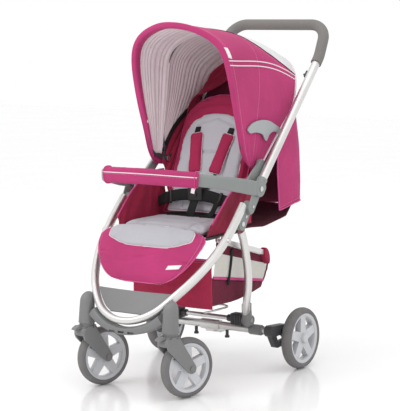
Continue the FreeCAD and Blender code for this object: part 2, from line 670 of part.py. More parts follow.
rt = tyre(REAR_R, REAR_W, REAR_RIM_R)
rr = rim(REAR_RIM_R, REAR_W, 15, 34, 6.0 + RUN, 26)
cap = Part.Face(Part.makePolygon([V(17.0, 0, 0), V(17.0, 0, 14.5), V(20.0, 0, 13.5), V(22.5, 0, 9), V(23.0, 0, 0), V(17.0, 0, 0)])).revolve(V(0, 0, 0), V(1, 0, 0), 360)
cap = cap.cut(cyl((0, 0, 0), (1, 0, 0), 6.0 + RUN, 22.05))
XR = REAR_TRACK / 2
for side, sg in (("near", 1), ("far", -1)):
    p = (sg * XR, 0, REAR_R)
    keep("rear_tyre_" + side, placed(rt, p))
    cc = cap if sg > 0 else mir(cap)
    group("rear_rim_" + side, [placed(rr, p), placed(cc, p)])

frt = tyre(FRONT_R, FRONT_W, FRONT_RIM_R)
frr = rim(FRONT_RIM_R, FRONT_W, 13, 33, 4.0 + RUN, 24)


# ---- casters, drawn along +Y and then turned ------------------------------------------------------------------------------
def caster_fork():
    stem = cyl((0, 0, 190), (0, 0, 1), 8, 72)
    collar = cyl((0, 0, 181), (0, 0, 1), 27.5, 6.5).fuse(cyl((0, 0, 187.5), (0, 0, 1), 22.5, 9.2))
    neck = []
    for z, a, b, y in ((160, 27.5, 28, -4), (172, 27, 29, -3), (182, 26.5, 27.5, 0)):
        neck.append(section(V(0, y, z), V(1, 0, 0), V(0, 1, 0), a, b, 3.0))
    crown = Part.makeLoft(neck, True, False)
    arms = capsule_x((-3, 163), (TRAIL, FRONT_R), 25, 15, 19.0, 27.3)
    arms = arms.fuse(mir(arms))
    s = crown.fuse(arms).fuse(collar).removeSplitter()
    s = s.cut(cyl((-18.95, TRAIL, FRONT_R), (1, 0, 0), FRONT_R + 3.2, 37.9))
    s = s.fuse(stem).removeSplitter()
    for k in range(8):
        a = math.radians(45 * k + 10)
        s = s.cut(cyl((27.5 * math.cos(a), 27.5 * math.sin(a), 182.6), (0, 0, 1), 2.4, 3.4))
    s = s.cut(cyl((-60, TRAIL, FRONT_R), (1, 0, 0), 4.0, 120))
    s = s.cut(box(-11.2, 11.2, -60, -21.6, 180.5, 190.9).cut(cyl((0, 0, 150), (0, 0, 1), 21.6, 60)))
    s = s.fuse(cyl((-12.5, -24.4, 184.4), (1, 0, 0), 1.3, 25)).removeSplitter()
    return max(s.Solids, key=lambda q: q.Volume)


def lock_lever():
    s = poly_x([(-23.4, 182.6), (-22.4, 186.8), (-25, 189.5), (-34, 190.5), (-46, 184), (-49, 178.5), (-44, 177.5), (-33, 181.0)], -10.8, 10.8)
    s = s.cut(cyl((-20, -24.4, 184.4), (1, 0, 0), 1.35, 40))
    return max(s.Solids, key=lambda q: q.Volume)


fork = caster_fork()
lever = lock_lever()
axle_f = cyl((-30.3, TRAIL, FRONT_R), (1, 0, 0), 4.0, 60.6).fuse(cyl((27.4, TRAIL, FRONT_R), (1, 0, 0), 7.5, 3.4)).fuse(cyl((-30.8, TRAIL, FRONT_R), (1, 0, 0), 7.5, 3.4)).removeSplitter()
for side, sg in (("near", 1), ("far", -1)):
    p = (sg * CASTER_X, CASTER_Y, 0)
    group("caster_fork_" + side, [placed(fork, p, -SWIVEL), placed(axle_f, p, -SWIVEL)])
    keep("swivel_lock_" + side, placed(lever, p, -SWIVEL))
    for nm, s in (("front_tyre_", frt), ("front_rim_", frr)):
        q = s.copy()
        q.translate(V(0, TRAIL, FRONT_R))
        keep(nm + side, placed(q, p, -SWIVEL))

# ---- backrest ------------------------------------------------------------------------------------------------------------------
ba = math.radians(67.0)
bd = V(0, math.cos(ba), math.sin(ba))         # up the backrest
bn = V(0, -math.sin(ba), math.cos(ba))        # out of it, towards the child


def on_back(x, s, d):
    return V(x, REC_Y, REC_Z) + bd * s + bn * d


def back_outline(w0, w1, s0, s1, wmid=None, n=9):
    """Outline in backrest coordinates: straight sides with an arched head."""
    pts = [(-w0, s0), (w0, s0)]
    sh = s1 - w1 * 0.9
    pts.append((w1, sh))
    for i in range(1, n):
        a = math.pi / 2 * i / n
        pts.append((w1 * math.cos(a) ** 0.85, sh + (s1 - sh) * math.sin(a) ** 0.85))
    pts.append((0, s1))
    for i in range(n - 1, 0, -1):
        a = math.pi / 2 * i / n
        pts.append((-w1 * math.cos(a) ** 0.85, sh + (s1 - sh) * math.sin(a) ** 0.85))
    pts.append((-w1, sh))
    return pts


def back_slab(outline, d0, d1):
    P = [on_back(x, s, d0) for x, s in outline]
    f = Part.Face(Part.makePolygon(P + [P[0]]))
    return f.extrude(bn * (d1 - d0))


keep("back_board", back_slab(back_outline(140, 143, 10, 405), -16, -11))
sur = back_slab(back_outline(143, 146.5, 12, 412), -10.9, 16)
ins = back_slab(back_outline(116, 122, 14, 344), 4, 24)
sur = sur.cut(back_slab(back_outline(116.2, 122.2, 8, 344.2), 4, 24))
keep("back_surround", max(sur.Solids, key=lambda q: q.Volume))
keep("back_insert", ins)


def strap_on_back(p, q, w, d0, d1, d2=None, d3=None):
    """Flat strap from p to q, each (x, s), w wide, between depths d0 and d1 (d2, d3 at q)."""
    d2 = d0 if d2 is None else d2
    d3 = d1 if d3 is None else d3
    dx, ds = q[0] - p[0], q[1] - p[1]
    L = math.hypot(dx, ds)
    nx, ns = -ds / L * w / 2, dx / L * w / 2
    def face(pp, a, b):
        P = [on_back(pp[0] - nx, pp[1] - ns, a), on_back(pp[0] + nx, pp[1] + ns, a), on_back(pp[0] + nx, pp[1] + ns, b), on_back(pp[0] - nx, pp[1] - ns, b)]
        return Part.Wire(Part.makePolygon(P + [P[0]]))
    return Part.makeLoft([face(p, d0, d1), face(q, d2, d3)], True, True)


pad_n = strap_on_back((60, 270), (35, 140), 46, 24.3, 40)
pad_n = pad_n.makeFillet(4, pad_n.Edges)
group("shoulder_pads", pair(pad_n))
group("shoulder_straps", pair(strap_on_back((34.7, 138.5), (20, 100), 24, 27, 29.4, 33, 35.4)))
# lap belt, crotch strap and buckle, all on the seat's side of the recline hinge


def belt():
    pts = [(146, -184, 516), (112, -191, 531), (72, -194, 541), (28, -191, 547)]
    c = spline(pts)
    return bar(pts, 19, 1.6, (0, 0.25, 1), n=10, e=6)


lap = belt()
bk = box(-27, 27, -198, -184, 527, 571)
bk = bk.makeFillet(5, bk.Edges)
lap = lap.cut(bk)
lap = max(lap.Solids, key=lambda q: q.Volume)
bk = bk.cut(cyl((0, -192, 549), (0, -1, 0), 9 + RUN, 12))
keep("buckle", bk)
keep("buckle_button", cyl((0, -194, 549), (0, -1, 0), 9, 6.5))
crotch = bar([(0, -222, 474.5), (0, -221, 492), (0, -200, 526.6)], 1.5, 15, (0, 1, 0.3), n=6, e=6)
crotch = crotch.cut(bk).cut(seat)
group("harness_webbing", pair(lap) + [max(crotch.Solids, key=lambda q: q.Volume)])

# ---- hood: three bows and one sewn canopy ------------------------------------------------------------------------------------------


def bow_front(u, out=0.0):
    """Front edge of the canopy, u 0 at the near tip, 0.5 at the top middle."""
    s = abs(2 * u - 1)                       # 1 at the tips, 0 at the middle
    k = [(0.0, 0, -318, 1069.5), (0.037, 22, -315, 1068.5), (0.116, 66, -304, 1060), (0.216, 118, -292, 1038), (0.313, 158, -278, 1001), (0.404, 174, -267, 953), (0.516, 179, -251, 889), (0.661, 179, -228, 807), (0.802, 177, -203, 729), (0.918, 176, -180, 664), (1.0, 175, -150, 630)]
    X = smooth_table([(a, b) for a, b, c_, d in k])(s)
    Y = smooth_table([(a, c_) for a, b, c_, d in k])(s)
    Z = smooth_table([(a, d) for a, b, c_, d in k])(s)
    return (X if u < 0.5 else -X, Y, Z)


def bow_rear(u):
    s = abs(2 * u - 1)
    k = [(0.0, 0, 185, 962), (0.104, 60, 181, 957), (0.198, 110, 168, 940), (0.278, 142, 150, 914), (0.35, 160, 132, 886), (0.443, 168, 112, 832), (0.617, 170, 51, 762), (0.798, 172, -30, 694), (1.0, 174, -108, 624)]
    X = smooth_table([(a, b) for a, b, c_, d in k])(s)
    Y = smooth_table([(a, c_) for a, b, c_, d in k])(s)
    Z = smooth_table([(a, d) for a, b, c_, d in k])(s)
    return (X if u < 0.5 else -X, Y, Z)


def canopy(u, v):
    """v 0 at the front edge, 1 at the rear edge."""
    f, r = bow_front(u), bow_rear(u)
    s = abs(2 * u - 1)
    crown = (1 - s ** 2.2)
    x = f[0] + (r[0] - f[0]) * v
    y = f[1] + (r[1] - f[1]) * v
    z = f[2] + (r[2] - f[2]) * v
    # the roof runs level, then falls to the rear edge
    z += crown * 26 * math.sin(math.pi * v) * (0.45 + 0.8 * v)
    return (x, y, z)


cano = sheet(canopy, 40, 12, T, 0.5)
cano = max(cano.cut(cyl((-300, HOOD_Y, HOOD_Z), (1, 0, 0), 13.0, 600)).Solids, key=lambda q: q.Volume)
keep("canopy", cano)


def bow(fn, r, inset, px):
    """Round bow inside the canopy from the near pivot over the top to the far pivot."""
    pts = []
    for i in range(1, 40):
        u = i / 40
        x, y, z = fn(u)
        pts.append((x, y, z))
    out = []
    for i, (x, y, z) in enumerate(pts):
        s = abs(2 * (i + 1) / 40 - 1)
        k = inset
        # pull inwards, towards the pivot line
        dy_, dz_ = HOOD_Y - y, HOOD_Z - z
        L = math.hypot(dy_, dz_)
        rx = x - math.copysign(min(abs(x), k), x) * (1 if abs(x) > 1 else 0) if abs(x) > 150 else x * (abs(x) / 150 * (1 - k / abs(x)) + (1 - abs(x) / 150)) if abs(x) > 0 else 0
        out.append((rx, y + dy_ / L * k, z + dz_ / L * k))
    a, b = out[0], out[-1]
    return out


def make_bow(fn, r, inset, nb=14):
    pts = bow(fn, r, inset, 0)
    keep_pts = [p for i, p in enumerate(pts) if i % 3 == 1]
    keep_pts = [p for p in keep_pts if math.hypot(p[1] - HOOD_Y, p[2] - HOOD_Z) > 40]
    x0 = 166.5
    ends = [(x0, HOOD_Y + (keep_pts[0][1] - HOOD_Y) * 0.12, HOOD_Z + (keep_pts[0][2] - HOOD_Z) * 0.12)]
    path = ends + keep_pts + [(-x0, ends[0][1], ends[0][2])]
    return path


def mid_fn(u):
    f, r = bow_front(u), bow_rear(u)
    c_ = canopy(u, 0.42)
    return c_


# each bow ends in a flat eye; the three eyes lie side by side on the pivot
def with_eyes(s, x0, x1, toward):
    ty, tz = toward
    L = math.hypot(ty - HOOD_Y, tz - HOOD_Z)
    q = (HOOD_Y + (ty - HOOD_Y) / L * 34, HOOD_Z + (tz - HOOD_Z) / L * 34)
    link = capsule_x((HOOD_Y, HOOD_Z), q, 9, 5, x0, x1)
    s = s.fuse(link).fuse(mir(link)).removeSplitter()
    s = s.cut(cyl((-300, HOOD_Y, HOOD_Z), (1, 0, 0), 4 + RUN, 600))
    return max(s.Solids, key=lambda w: w.Volume)


def bow_path(fn, x_eye, inset):
    rows = make_bow(fn, 4, inset)
    first = rows[1]
    L = math.hypot(first[1] - HOOD_Y, first[2] - HOOD_Z)
    st = (x_eye, HOOD_Y + (first[1] - HOOD_Y) / L * 26, HOOD_Z + (first[2] - HOOD_Z) / L * 26)
    mid = rows[1:-1]
    path = [st] + mid + [(-st[0], st[1], st[2])]
    return path, (first[1], first[2])


for nm, fn, xe, inset in (("front", bow_front, 168.0, 8.5), ("mid", mid_fn, 162.0, 8.5), ("rear", bow_rear, 156.0, 9.6)):
    path_, toward = bow_path(fn, xe, inset)
    s = rod(path_, 3.5, spl=True)
    s = with_eyes(s, xe - 2.6, xe + 2.6, toward)
    keep("hood_bow_" + nm, s)

# grey crescent on each side of the hood, with its screw
cres = []
o = [(-171, 771), (-160, 779), (-140, 787), (-112, 791), (-80, 791), (-45, 784), (-12, 770), (14, 748), (10, 741), (-8, 747), (-30, 752), (-48, 747), (-60, 736), (-69, 727), (-78, 733), (-88, 746), (-110, 754), (-140, 757), (-166, 760)]
cw = Part.BSplineCurve()
cw.interpolate(Points=[V(181.0, y - 8, z - 17) for y, z in o], PeriodicFlag=True)
cres = Part.Face(Part.Wire(cw.toShape())).extrude(V(4.0, 0, 0))
cres = cres.fuse(cyl((185.0, -78, 727), (1, 0, 0), 4.0, 1.4)).removeSplitter()
group("hood_crescents", pair(cres))


# rear curtain of the seat shell, wrapping round from one side to the other, and the sling under it
def curtain(u, v):
    # u round the back from the near side (0) to the far side (1); v up
    s = 2 * u - 1
    a = abs(s)
    z_lo = lin([0, 0.5, 0.66, 0.8, 1], [480, 494, 503, 500, 486], a)
    z_hi = lin([0, 0.45, 0.62, 0.80, 1.0], [905, 880, 850, 770, 700], a)
    z = z_lo + (z_hi - z_lo) * v
    # plan: flat back, round corners, short sides
    back = lin([470, 560, 660, 760, 850, 905], [196, 198, 192, 178, 162, 152], z)
    fy_ = lin([480, 600, 700, 905], [12, 0, 6, 80], z)
    tab = [(0, 0, back), (0.35, 98, back - 4), (0.55, 146, back - 22), (0.66, 164, back - 46), (0.75, 171, back - 72), (1.0, 173.5, fy_)]
    X = smooth_table([(q[0], q[1]) for q in tab])(a)
    Y = lin([q[0] for q in tab], [q[2] for q in tab], a)
    return (X if s < 0 else -X, Y, z)


def curtain_s(u, v):
    # smooth the plan curve with a small average
    acc = [0, 0, 0]
    for k in (-0.03, -0.015, 0, 0.015, 0.03):
        p = curtain(min(1, max(0, u + k)), v)
        acc = [acc[i] + p[i] / 5 for i in range(3)]
    q = curtain(u, v)
    if u < 0.035 or u > 0.965:
        return (q[0], q[1], q[2])
    return tuple(acc)


rear_curtain = sheet(curtain, 40, 10, T, 0.5)


def sling(u, v):
    x = (2 * u - 1) * lin([0, 0.7, 1], [163, 163, 120], v)
    y = -172 + 345 * v
    z = lin([0, 0.3, 0.7, 1], [452, 446, 462, 486], v) - 12 * (1 - (2 * u - 1) ** 2) * math.sin(math.pi * v)
    return (x, y, z)


sg_ = sheet(sling, 12, 14, T, 0.5)
sg_ = sg_.cut(cyl((-200, REC_Y, REC_Z), (1, 0, 0), 12, 400))
group("seat_shell", [rear_curtain, max(sg_.Solids, key=lambda q: q.Volume)])

# ---- basket ---------------------------------------------------------------------------------------------------------------------------
def tray(u, v):
    """u across X from near to far, v from the front to the rear. Low walls at the sides."""
    s = 2 * u - 1
    y = -318 + 322 * v
    w = lin([0, 0.75, 0.9, 1], [143, 141, 136, 118], v)
    top = lin([0, 1], [318, 262], v)
    floor_ = lin([0, 0.5, 1], [226, 228, 250], v)
    a = abs(s)
    k = max(0.0, (a - 0.62) / 0.38)
    x = (min(a, 0.72) / 0.72) * (w - 8 * (1 - k))
    z = floor_ + (top - floor_) * k ** 1.6 - 5 * (1 - a ** 2) * math.sin(math.pi * v)
    return (x if s > 0 else -x, y, z)


keep("basket_tray", sheet(tray, 32, 12, T, 0.5))


def basket_panel(u, v):
    s = 2 * u - 1
    w = 145 - 2 * v
    z0, z1 = 225, 372
    return (s * w, -321.5 - 4 * (1 - s * s) + 2 * v, z0 + (z1 - z0) * v)


keep("basket_front", sheet(basket_panel, 12, 6, T, 0.5))


def mesh_side(u, v):
    y = -316 + 290 * u
    w0 = lin([0, 0.75, 0.9, 1], [145.5, 143.5, 138.5, 120], (y + 318) / 322)
    z0 = lin([-318, 4], [321, 265], y)
    z1 = lin([-322, -72, -20], [424, 353, 341], y)
    return (w0 + (158 - w0) * v, y, z0 + (z1 - z0) * v)


group("basket_mesh", pair(sheet(mesh_side, 12, 6, 2.0, 0.5)))
stp = []
for y in (-236,):
    for sg2 in (1, -1):
        a = mesh_side((y + 316) / 290, 0.0)
        b = mesh_side((y + 316) / 290, 1.0)
        P = [V(a[0] + 1.4, y - 7, a[2] - 20), V(a[0] + 1.4, y + 7, a[2] - 20), V(b[0] + 1.4, y + 7, b[2]), V(b[0] + 1.4, y - 7, b[2])]
        f = Part.Face(Part.makePolygon(P + [P[0]])).extrude(V(1.8, 0, 0))
        stp.append(f if sg2 > 0 else mir(f))
keep("basket_straps", Part.makeCompound(stp))
wire_path = [(118, -322, 214), (122, -280, 213.5), (122, -230, 213), (116, -195, 212), (95, -180, 211.5), (50, -177, 211), (0, -176.5, 211)]
wp = wire_path + [(-x, y, z) for x, y, z in reversed(wire_path[:-1])]
keep("basket_wire", rod(wp, 3.0, spl=True))


def pocket():
    s = capsule_x((-70, 364), (-56, 340), 17, 12, 159.5, 177.5)
    s = s.cut(sb)
    return max(s.Solids, key=lambda q: q.Volume)


group("bar_pockets", pair(pocket()))

# ---- write ---------------------------------------------------------------------------------------------------------------------------------
box_all = None
for name, shape in NODES.items():
    s = shape.copy()
    s.translate(V(0, Y0, 0))
    b = s.BoundBox
    if box_all is None:
        box_all = FreeCAD.BoundBox(b)
    else:
        box_all.add(b)
    n = len(s.Solids)
    flag = "" if s.isValid() and n and s.Volume > 0 else "  <-- CHECK"
    print(f"{name:24s} solids {n} vol {s.Volume / 1000:9.2f} cm3  X {b.XMin:7.1f} {b.XMax:7.1f}  Y {b.YMin - Y0:7.1f} {b.YMax - Y0:7.1f}  Z {b.ZMin:7.1f} {b.ZMax:7.1f}{flag}")
    if n == 1:
        s = s.Solids[0]
    s.exportStep("parts/" + name + ".step")
print("nodes", len(NODES), "bounds Y", round(box_all.YMin, 2), round(box_all.YMax, 2), "X", round(box_all.XMin, 2), round(box_all.XMax, 2), "Z", round(box_all.ZMin, 2), round(box_all.ZMax, 2))
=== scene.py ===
import bpy, math
import numpy as np
from mathutils import Vector, Matrix, noise


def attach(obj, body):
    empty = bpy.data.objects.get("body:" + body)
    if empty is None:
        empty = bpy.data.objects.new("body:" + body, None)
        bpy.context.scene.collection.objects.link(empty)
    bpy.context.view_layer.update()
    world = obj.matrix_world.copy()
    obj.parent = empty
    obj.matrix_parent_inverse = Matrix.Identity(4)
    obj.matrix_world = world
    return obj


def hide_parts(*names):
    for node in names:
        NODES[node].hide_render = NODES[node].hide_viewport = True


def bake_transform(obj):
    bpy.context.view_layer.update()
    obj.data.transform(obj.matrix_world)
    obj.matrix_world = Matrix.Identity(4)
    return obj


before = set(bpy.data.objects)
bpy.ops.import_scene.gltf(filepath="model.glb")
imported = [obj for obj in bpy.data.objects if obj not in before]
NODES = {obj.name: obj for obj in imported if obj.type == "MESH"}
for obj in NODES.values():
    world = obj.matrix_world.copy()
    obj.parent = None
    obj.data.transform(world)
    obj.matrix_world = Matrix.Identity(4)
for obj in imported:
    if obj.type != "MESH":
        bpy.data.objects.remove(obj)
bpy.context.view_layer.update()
scene = bpy.context.scene
Y0 = 138.2


def P(x, y, z):
    return Vector((x / 1000, (y + Y0) / 1000, z / 1000))


# ---------------------------------------------------------------- materials
class Mat:
    def __init__(self, name):
        self.m = bpy.data.materials.new(name)
        self.m.use_nodes = True
        self.nt = self.m.node_tree
        self.nt.nodes.clear()
        self.out = self.nt.nodes.new("ShaderNodeOutputMaterial")
        self.b = self.nt.nodes.new("ShaderNodeBsdfPrincipled")
        self.nt.links.new(self.b.outputs[0], self.out.inputs[0])
        self.tc = self.nt.nodes.new("ShaderNodeTexCoord")
        self.co = self.tc.outputs["Object"]
        self.normal = None

    def set(self, **k):
        for n, v in k.items():
            self.b.inputs[n.replace("_", " ")].default_value = v
        return self

    def node(self, t, **k):
        n = self.nt.nodes.new(t)
        for a, v in k.items():
            setattr(n, a, v)
        return n

    def link(self, a, b):
        self.nt.links.new(a, b)

    def mapped(self, scale=(1, 1, 1), rot=(0, 0, 0), loc=(0, 0, 0), src=None):
        n = self.node("ShaderNodeMapping")
        n.inputs["Scale"].default_value = scale
        n.inputs["Rotation"].default_value = rot
        n.inputs["Location"].default_value = loc
        self.link(src or self.co, n.inputs["Vector"])
        return n.outputs[0]

    def noise(self, scale, detail=3, rough=0.55, src=None, stretch=None):
        n = self.node("ShaderNodeTexNoise")
        n.inputs["Scale"].default_value = scale
        n.inputs["Detail"].default_value = detail
        n.inputs["Roughness"].default_value = rough
        self.link(self.mapped(stretch) if stretch else (src or self.co), n.inputs["Vector"])
        return n.outputs["Fac"]

    def wave(self, scale, direction="X", src=None, dist=0.0):
        n = self.node("ShaderNodeTexWave", wave_type="BANDS", bands_direction=direction)
        n.inputs["Scale"].default_value = scale
        n.inputs["Distortion"].default_value = dist
        n.inputs["Detail"].default_value = 1
        self.link(src or self.co, n.inputs["Vector"])
        return n.outputs["Fac"]

    def math(self, op, a, b=0.0, c=None):
        n = self.node("ShaderNodeMath", operation=op)
        for i, v in enumerate((a, b, c)):
            if v is None:
                continue
            if isinstance(v, (int, float)):
                n.inputs[i].default_value = v
            else:
                self.link(v, n.inputs[i])
        return n.outputs[0]

    def ramp(self, fac, stops):
        n = self.node("ShaderNodeValToRGB")
        r = n.color_ramp
        while len(r.elements) < len(stops):
            r.elements.new(0.5)
        for e, (p, c) in zip(r.elements, stops):
            e.position = p
            e.color = (*c, 1) if len(c) == 3 else c
        self.link(fac, n.inputs[0])
        return n.outputs[0]

    def mix(self, fac, a, b, mode="MIX"):
        n = self.node("ShaderNodeMix", data_type="RGBA", blend_type=mode)
        if isinstance(fac, (int, float)):
            n.inputs["Factor"].default_value = fac
        else:
            self.link(fac, n.inputs["Factor"])
        for i, v in ((6, a), (7, b)):
            if isinstance(v, tuple):
                n.inputs[i].default_value = (*v, 1)
            else:
                self.link(v, n.inputs[i])
        return n.outputs[2]

    def bump(self, height, strength, distance):
        n = self.node("ShaderNodeBump")
        n.inputs["Strength"].default_value = strength
        n.inputs["Distance"].default_value = distance
        self.link(height, n.inputs["Height"])
        if self.normal is not None:
            self.link(self.normal, n.inputs["Normal"])
        self.normal = n.outputs[0]
        self.link(self.normal, self.b.inputs["Normal"])
        return self


def sc(c, k):
    return tuple(min(1.0, x * k) for x in c)


def fabric(name, color, weave=260, wrinkle=0.5, rough=0.86, sheen=0.10, fine=0.5, mottled=0.12, slub=True):
    """Plain-woven cloth: crossed threads, slubs, soft creases and an uneven dye."""
    m = Mat(name)
    m.set(Roughness=rough)
    m.b.inputs["Sheen Weight"].default_value = sheen
    m.b.inputs["Sheen Roughness"].default_value = 0.45
    m.b.inputs["Sheen Tint"].default_value = (*[min(1, 0.5 + 0.5 * x) for x in color], 1)
    m.b.inputs["Specular IOR Level"].default_value = 0.28
    wx, wy, wz = m.wave(weave, "X"), m.wave(weave * 0.93, "Y"), m.wave(weave, "Z")
    th = m.math("MAXIMUM", m.math("MULTIPLY", wx, wz), m.math("MULTIPLY", wy, m.math("SUBTRACT", 1.0, wz)))
    soft = m.noise(7.5, 4)
    tone = m.ramp(soft, [(0.3, sc(color, 1 - mottled)), (0.7, sc(color, 1 + mottled))])
    tone = m.mix(m.math("MULTIPLY", th, 0.22), tone, sc(color, 1.25))
    if slub:
        tone = m.mix(m.math("MULTIPLY", m.noise(420, 2, stretch=(1, 1, 0.12)), 0.18), tone, sc(color, 0.72))
    m.link(tone, m.b.inputs["Base Color"])
    m.bump(m.noise(26, 4, 0.5), wrinkle, 0.006)
    m.bump(m.noise(95, 3, 0.5), wrinkle * 0.5, 0.0014)
    m.bump(th, fine, 0.0004)
    return m.m


def plastic(name, color, rough=0.5, grain=0.12, coat=0.0, spec=0.45):
    """Moulded plastic: fine spark-eroded texture, slightly uneven gloss, fine light specks."""
    m = Mat(name)
    m.b.inputs["Specular IOR Level"].default_value = spec
    m.b.inputs["Coat Weight"].default_value = coat
    m.b.inputs["Coat Roughness"].default_value = 0.3
    n = m.noise(6, 4)
    tone = m.ramp(n, [(0.3, sc(color, 0.93)), (0.7, sc(color, 1.06))])
    tone = m.mix(m.math("MULTIPLY", m.noise(1400, 2), 0.12), tone, sc(color, 1.3))
    m.link(tone, m.b.inputs["Base Color"])
    r = m.math("MULTIPLY_ADD", m.noise(38, 3), 0.16, rough - 0.08)
    m.link(r, m.b.inputs["Roughness"])
    m.bump(m.noise(1100, 2, 0.6), grain, 0.0003)
    m.bump(m.noise(12, 2), 0.05, 0.002)
    return m.m


def metal(name, color, rough=0.32, metallic=0.9):
    """Anodised aluminium: drawn-tube streaks in the gloss and faint handling marks."""
    m = Mat(name)
    m.set(Metallic=metallic)
    m.b.inputs["Specular IOR Level"].default_value = 0.5
    streak = m.noise(60, 4, 0.6, stretch=(9, 1.2, 1.2))
    tone = m.ramp(m.noise(9, 3), [(0.3, sc(color, 0.95)), (0.7, sc(color, 1.03))])
    m.link(tone, m.b.inputs["Base Color"])
    r = m.math("MULTIPLY_ADD", streak, 0.20, rough - 0.08)
    r = m.math("ADD", r, m.math("MULTIPLY", m.math("GREATER_THAN", m.noise(240, 2), 0.72), 0.1))
    m.link(r, m.b.inputs["Roughness"])
    m.bump(m.noise(900, 2, stretch=(3, 0.6, 0.6)), 0.06, 0.0003)
    return m.m


def webbing(name, color=(0.0035, 0.0035, 0.004)):
    m = Mat(name)
    m.set(Roughness=0.62)
    m.b.inputs["Sheen Weight"].default_value = 0.03
    m.b.inputs["Specular IOR Level"].default_value = 0.25
    w = m.math("MULTIPLY", m.wave(190, "DIAGONAL"), m.wave(150, "Z"))
    m.link(m.mix(w, sc(color, 0.6), sc(color, 2.6)), m.b.inputs["Base Color"])
    m.bump(w, 0.6, 0.0005)
    m.bump(m.noise(60, 3), 0.4, 0.002)
    return m.m


def mesh_cloth(name, color):
    m = Mat(name)
    m.set(Roughness=0.8)
    m.b.inputs["Sheen Weight"].default_value = 0.1
    a = m.math("MULTIPLY", m.wave(110, "Y"), m.wave(110, "Z"))
    m.link(m.mix(m.noise(20, 3), sc(color, 0.85), sc(color, 1.1)), m.b.inputs["Base Color"])
    hole = m.math("GREATER_THAN", a, 0.30)
    m.link(m.math("SUBTRACT", 1.0, m.math("MULTIPLY", hole, 0.8)), m.b.inputs["Alpha"])
    m.bump(a, 0.5, 0.0005)
    return m.m


def tyre(name, centre, turn, radius, width):
    """Grey tyre: ribbed tread round the rim of the wheel, ring lines and dust on the side."""
    m = Mat(name)
    m.b.inputs["Specular IOR Level"].default_value = 0.3
    loc = m.node("ShaderNodeVectorMath", operation="SUBTRACT")
    m.link(m.co, loc.inputs[0])
    loc.inputs[1].default_value = centre
    rot = m.node("ShaderNodeVectorRotate", rotation_type="Z_AXIS")
    m.link(loc.outputs[0], rot.inputs["Vector"])
    rot.inputs["Angle"].default_value = turn
    s = m.node("ShaderNodeSeparateXYZ")
    m.link(rot.outputs[0], s.inputs[0])
    r = m.math("SQRT", m.math("ADD", m.math("POWER", s.outputs[1], 2.0), m.math("POWER", s.outputs[2], 2.0)))
    ang = m.math("ARCTAN2", s.outputs[1], s.outputs[2])
    tread = m.math("GREATER_THAN", r, radius - 0.0035)
    ribs = m.math("SINE", m.math("MULTIPLY", s.outputs[0], 2 * math.pi / 0.0052))
    sipes = m.math("SINE", m.math("MULTIPLY", ang, 72.0))
    rings = m.math("SINE", m.math("MULTIPLY", r, 2 * math.pi / 0.0045))
    tr = m.math("MULTIPLY", tread, m.math("ADD", m.math("GREATER_THAN", ribs, -0.5), m.math("MULTIPLY", m.math("GREATER_THAN", sipes, 0.8), -0.6)))
    side = m.math("MULTIPLY", m.math("SUBTRACT", 1.0, tread), m.math("MULTIPLY", m.math("GREATER_THAN", rings, 0.7), 0.35))
    c = (0.175, 0.17, 0.174)
    tone = m.ramp(m.noise(22, 4), [(0.3, sc(c, 0.85)), (0.7, sc(c, 1.12))])
    tone = m.mix(m.math("MULTIPLY", tread, m.math("MULTIPLY", m.noise(60, 4), 0.5)), tone, (0.25, 0.24, 0.22))
    m.link(tone, m.b.inputs["Base Color"])
    m.link(m.math("MULTIPLY_ADD", m.noise(50, 3), 0.2, 0.6), m.b.inputs["Roughness"])
    m.bump(m.math("ADD", tr, side), 0.7, 0.0016)
    m.bump(m.noise(900, 2), 0.15, 0.0003)
    return m.m


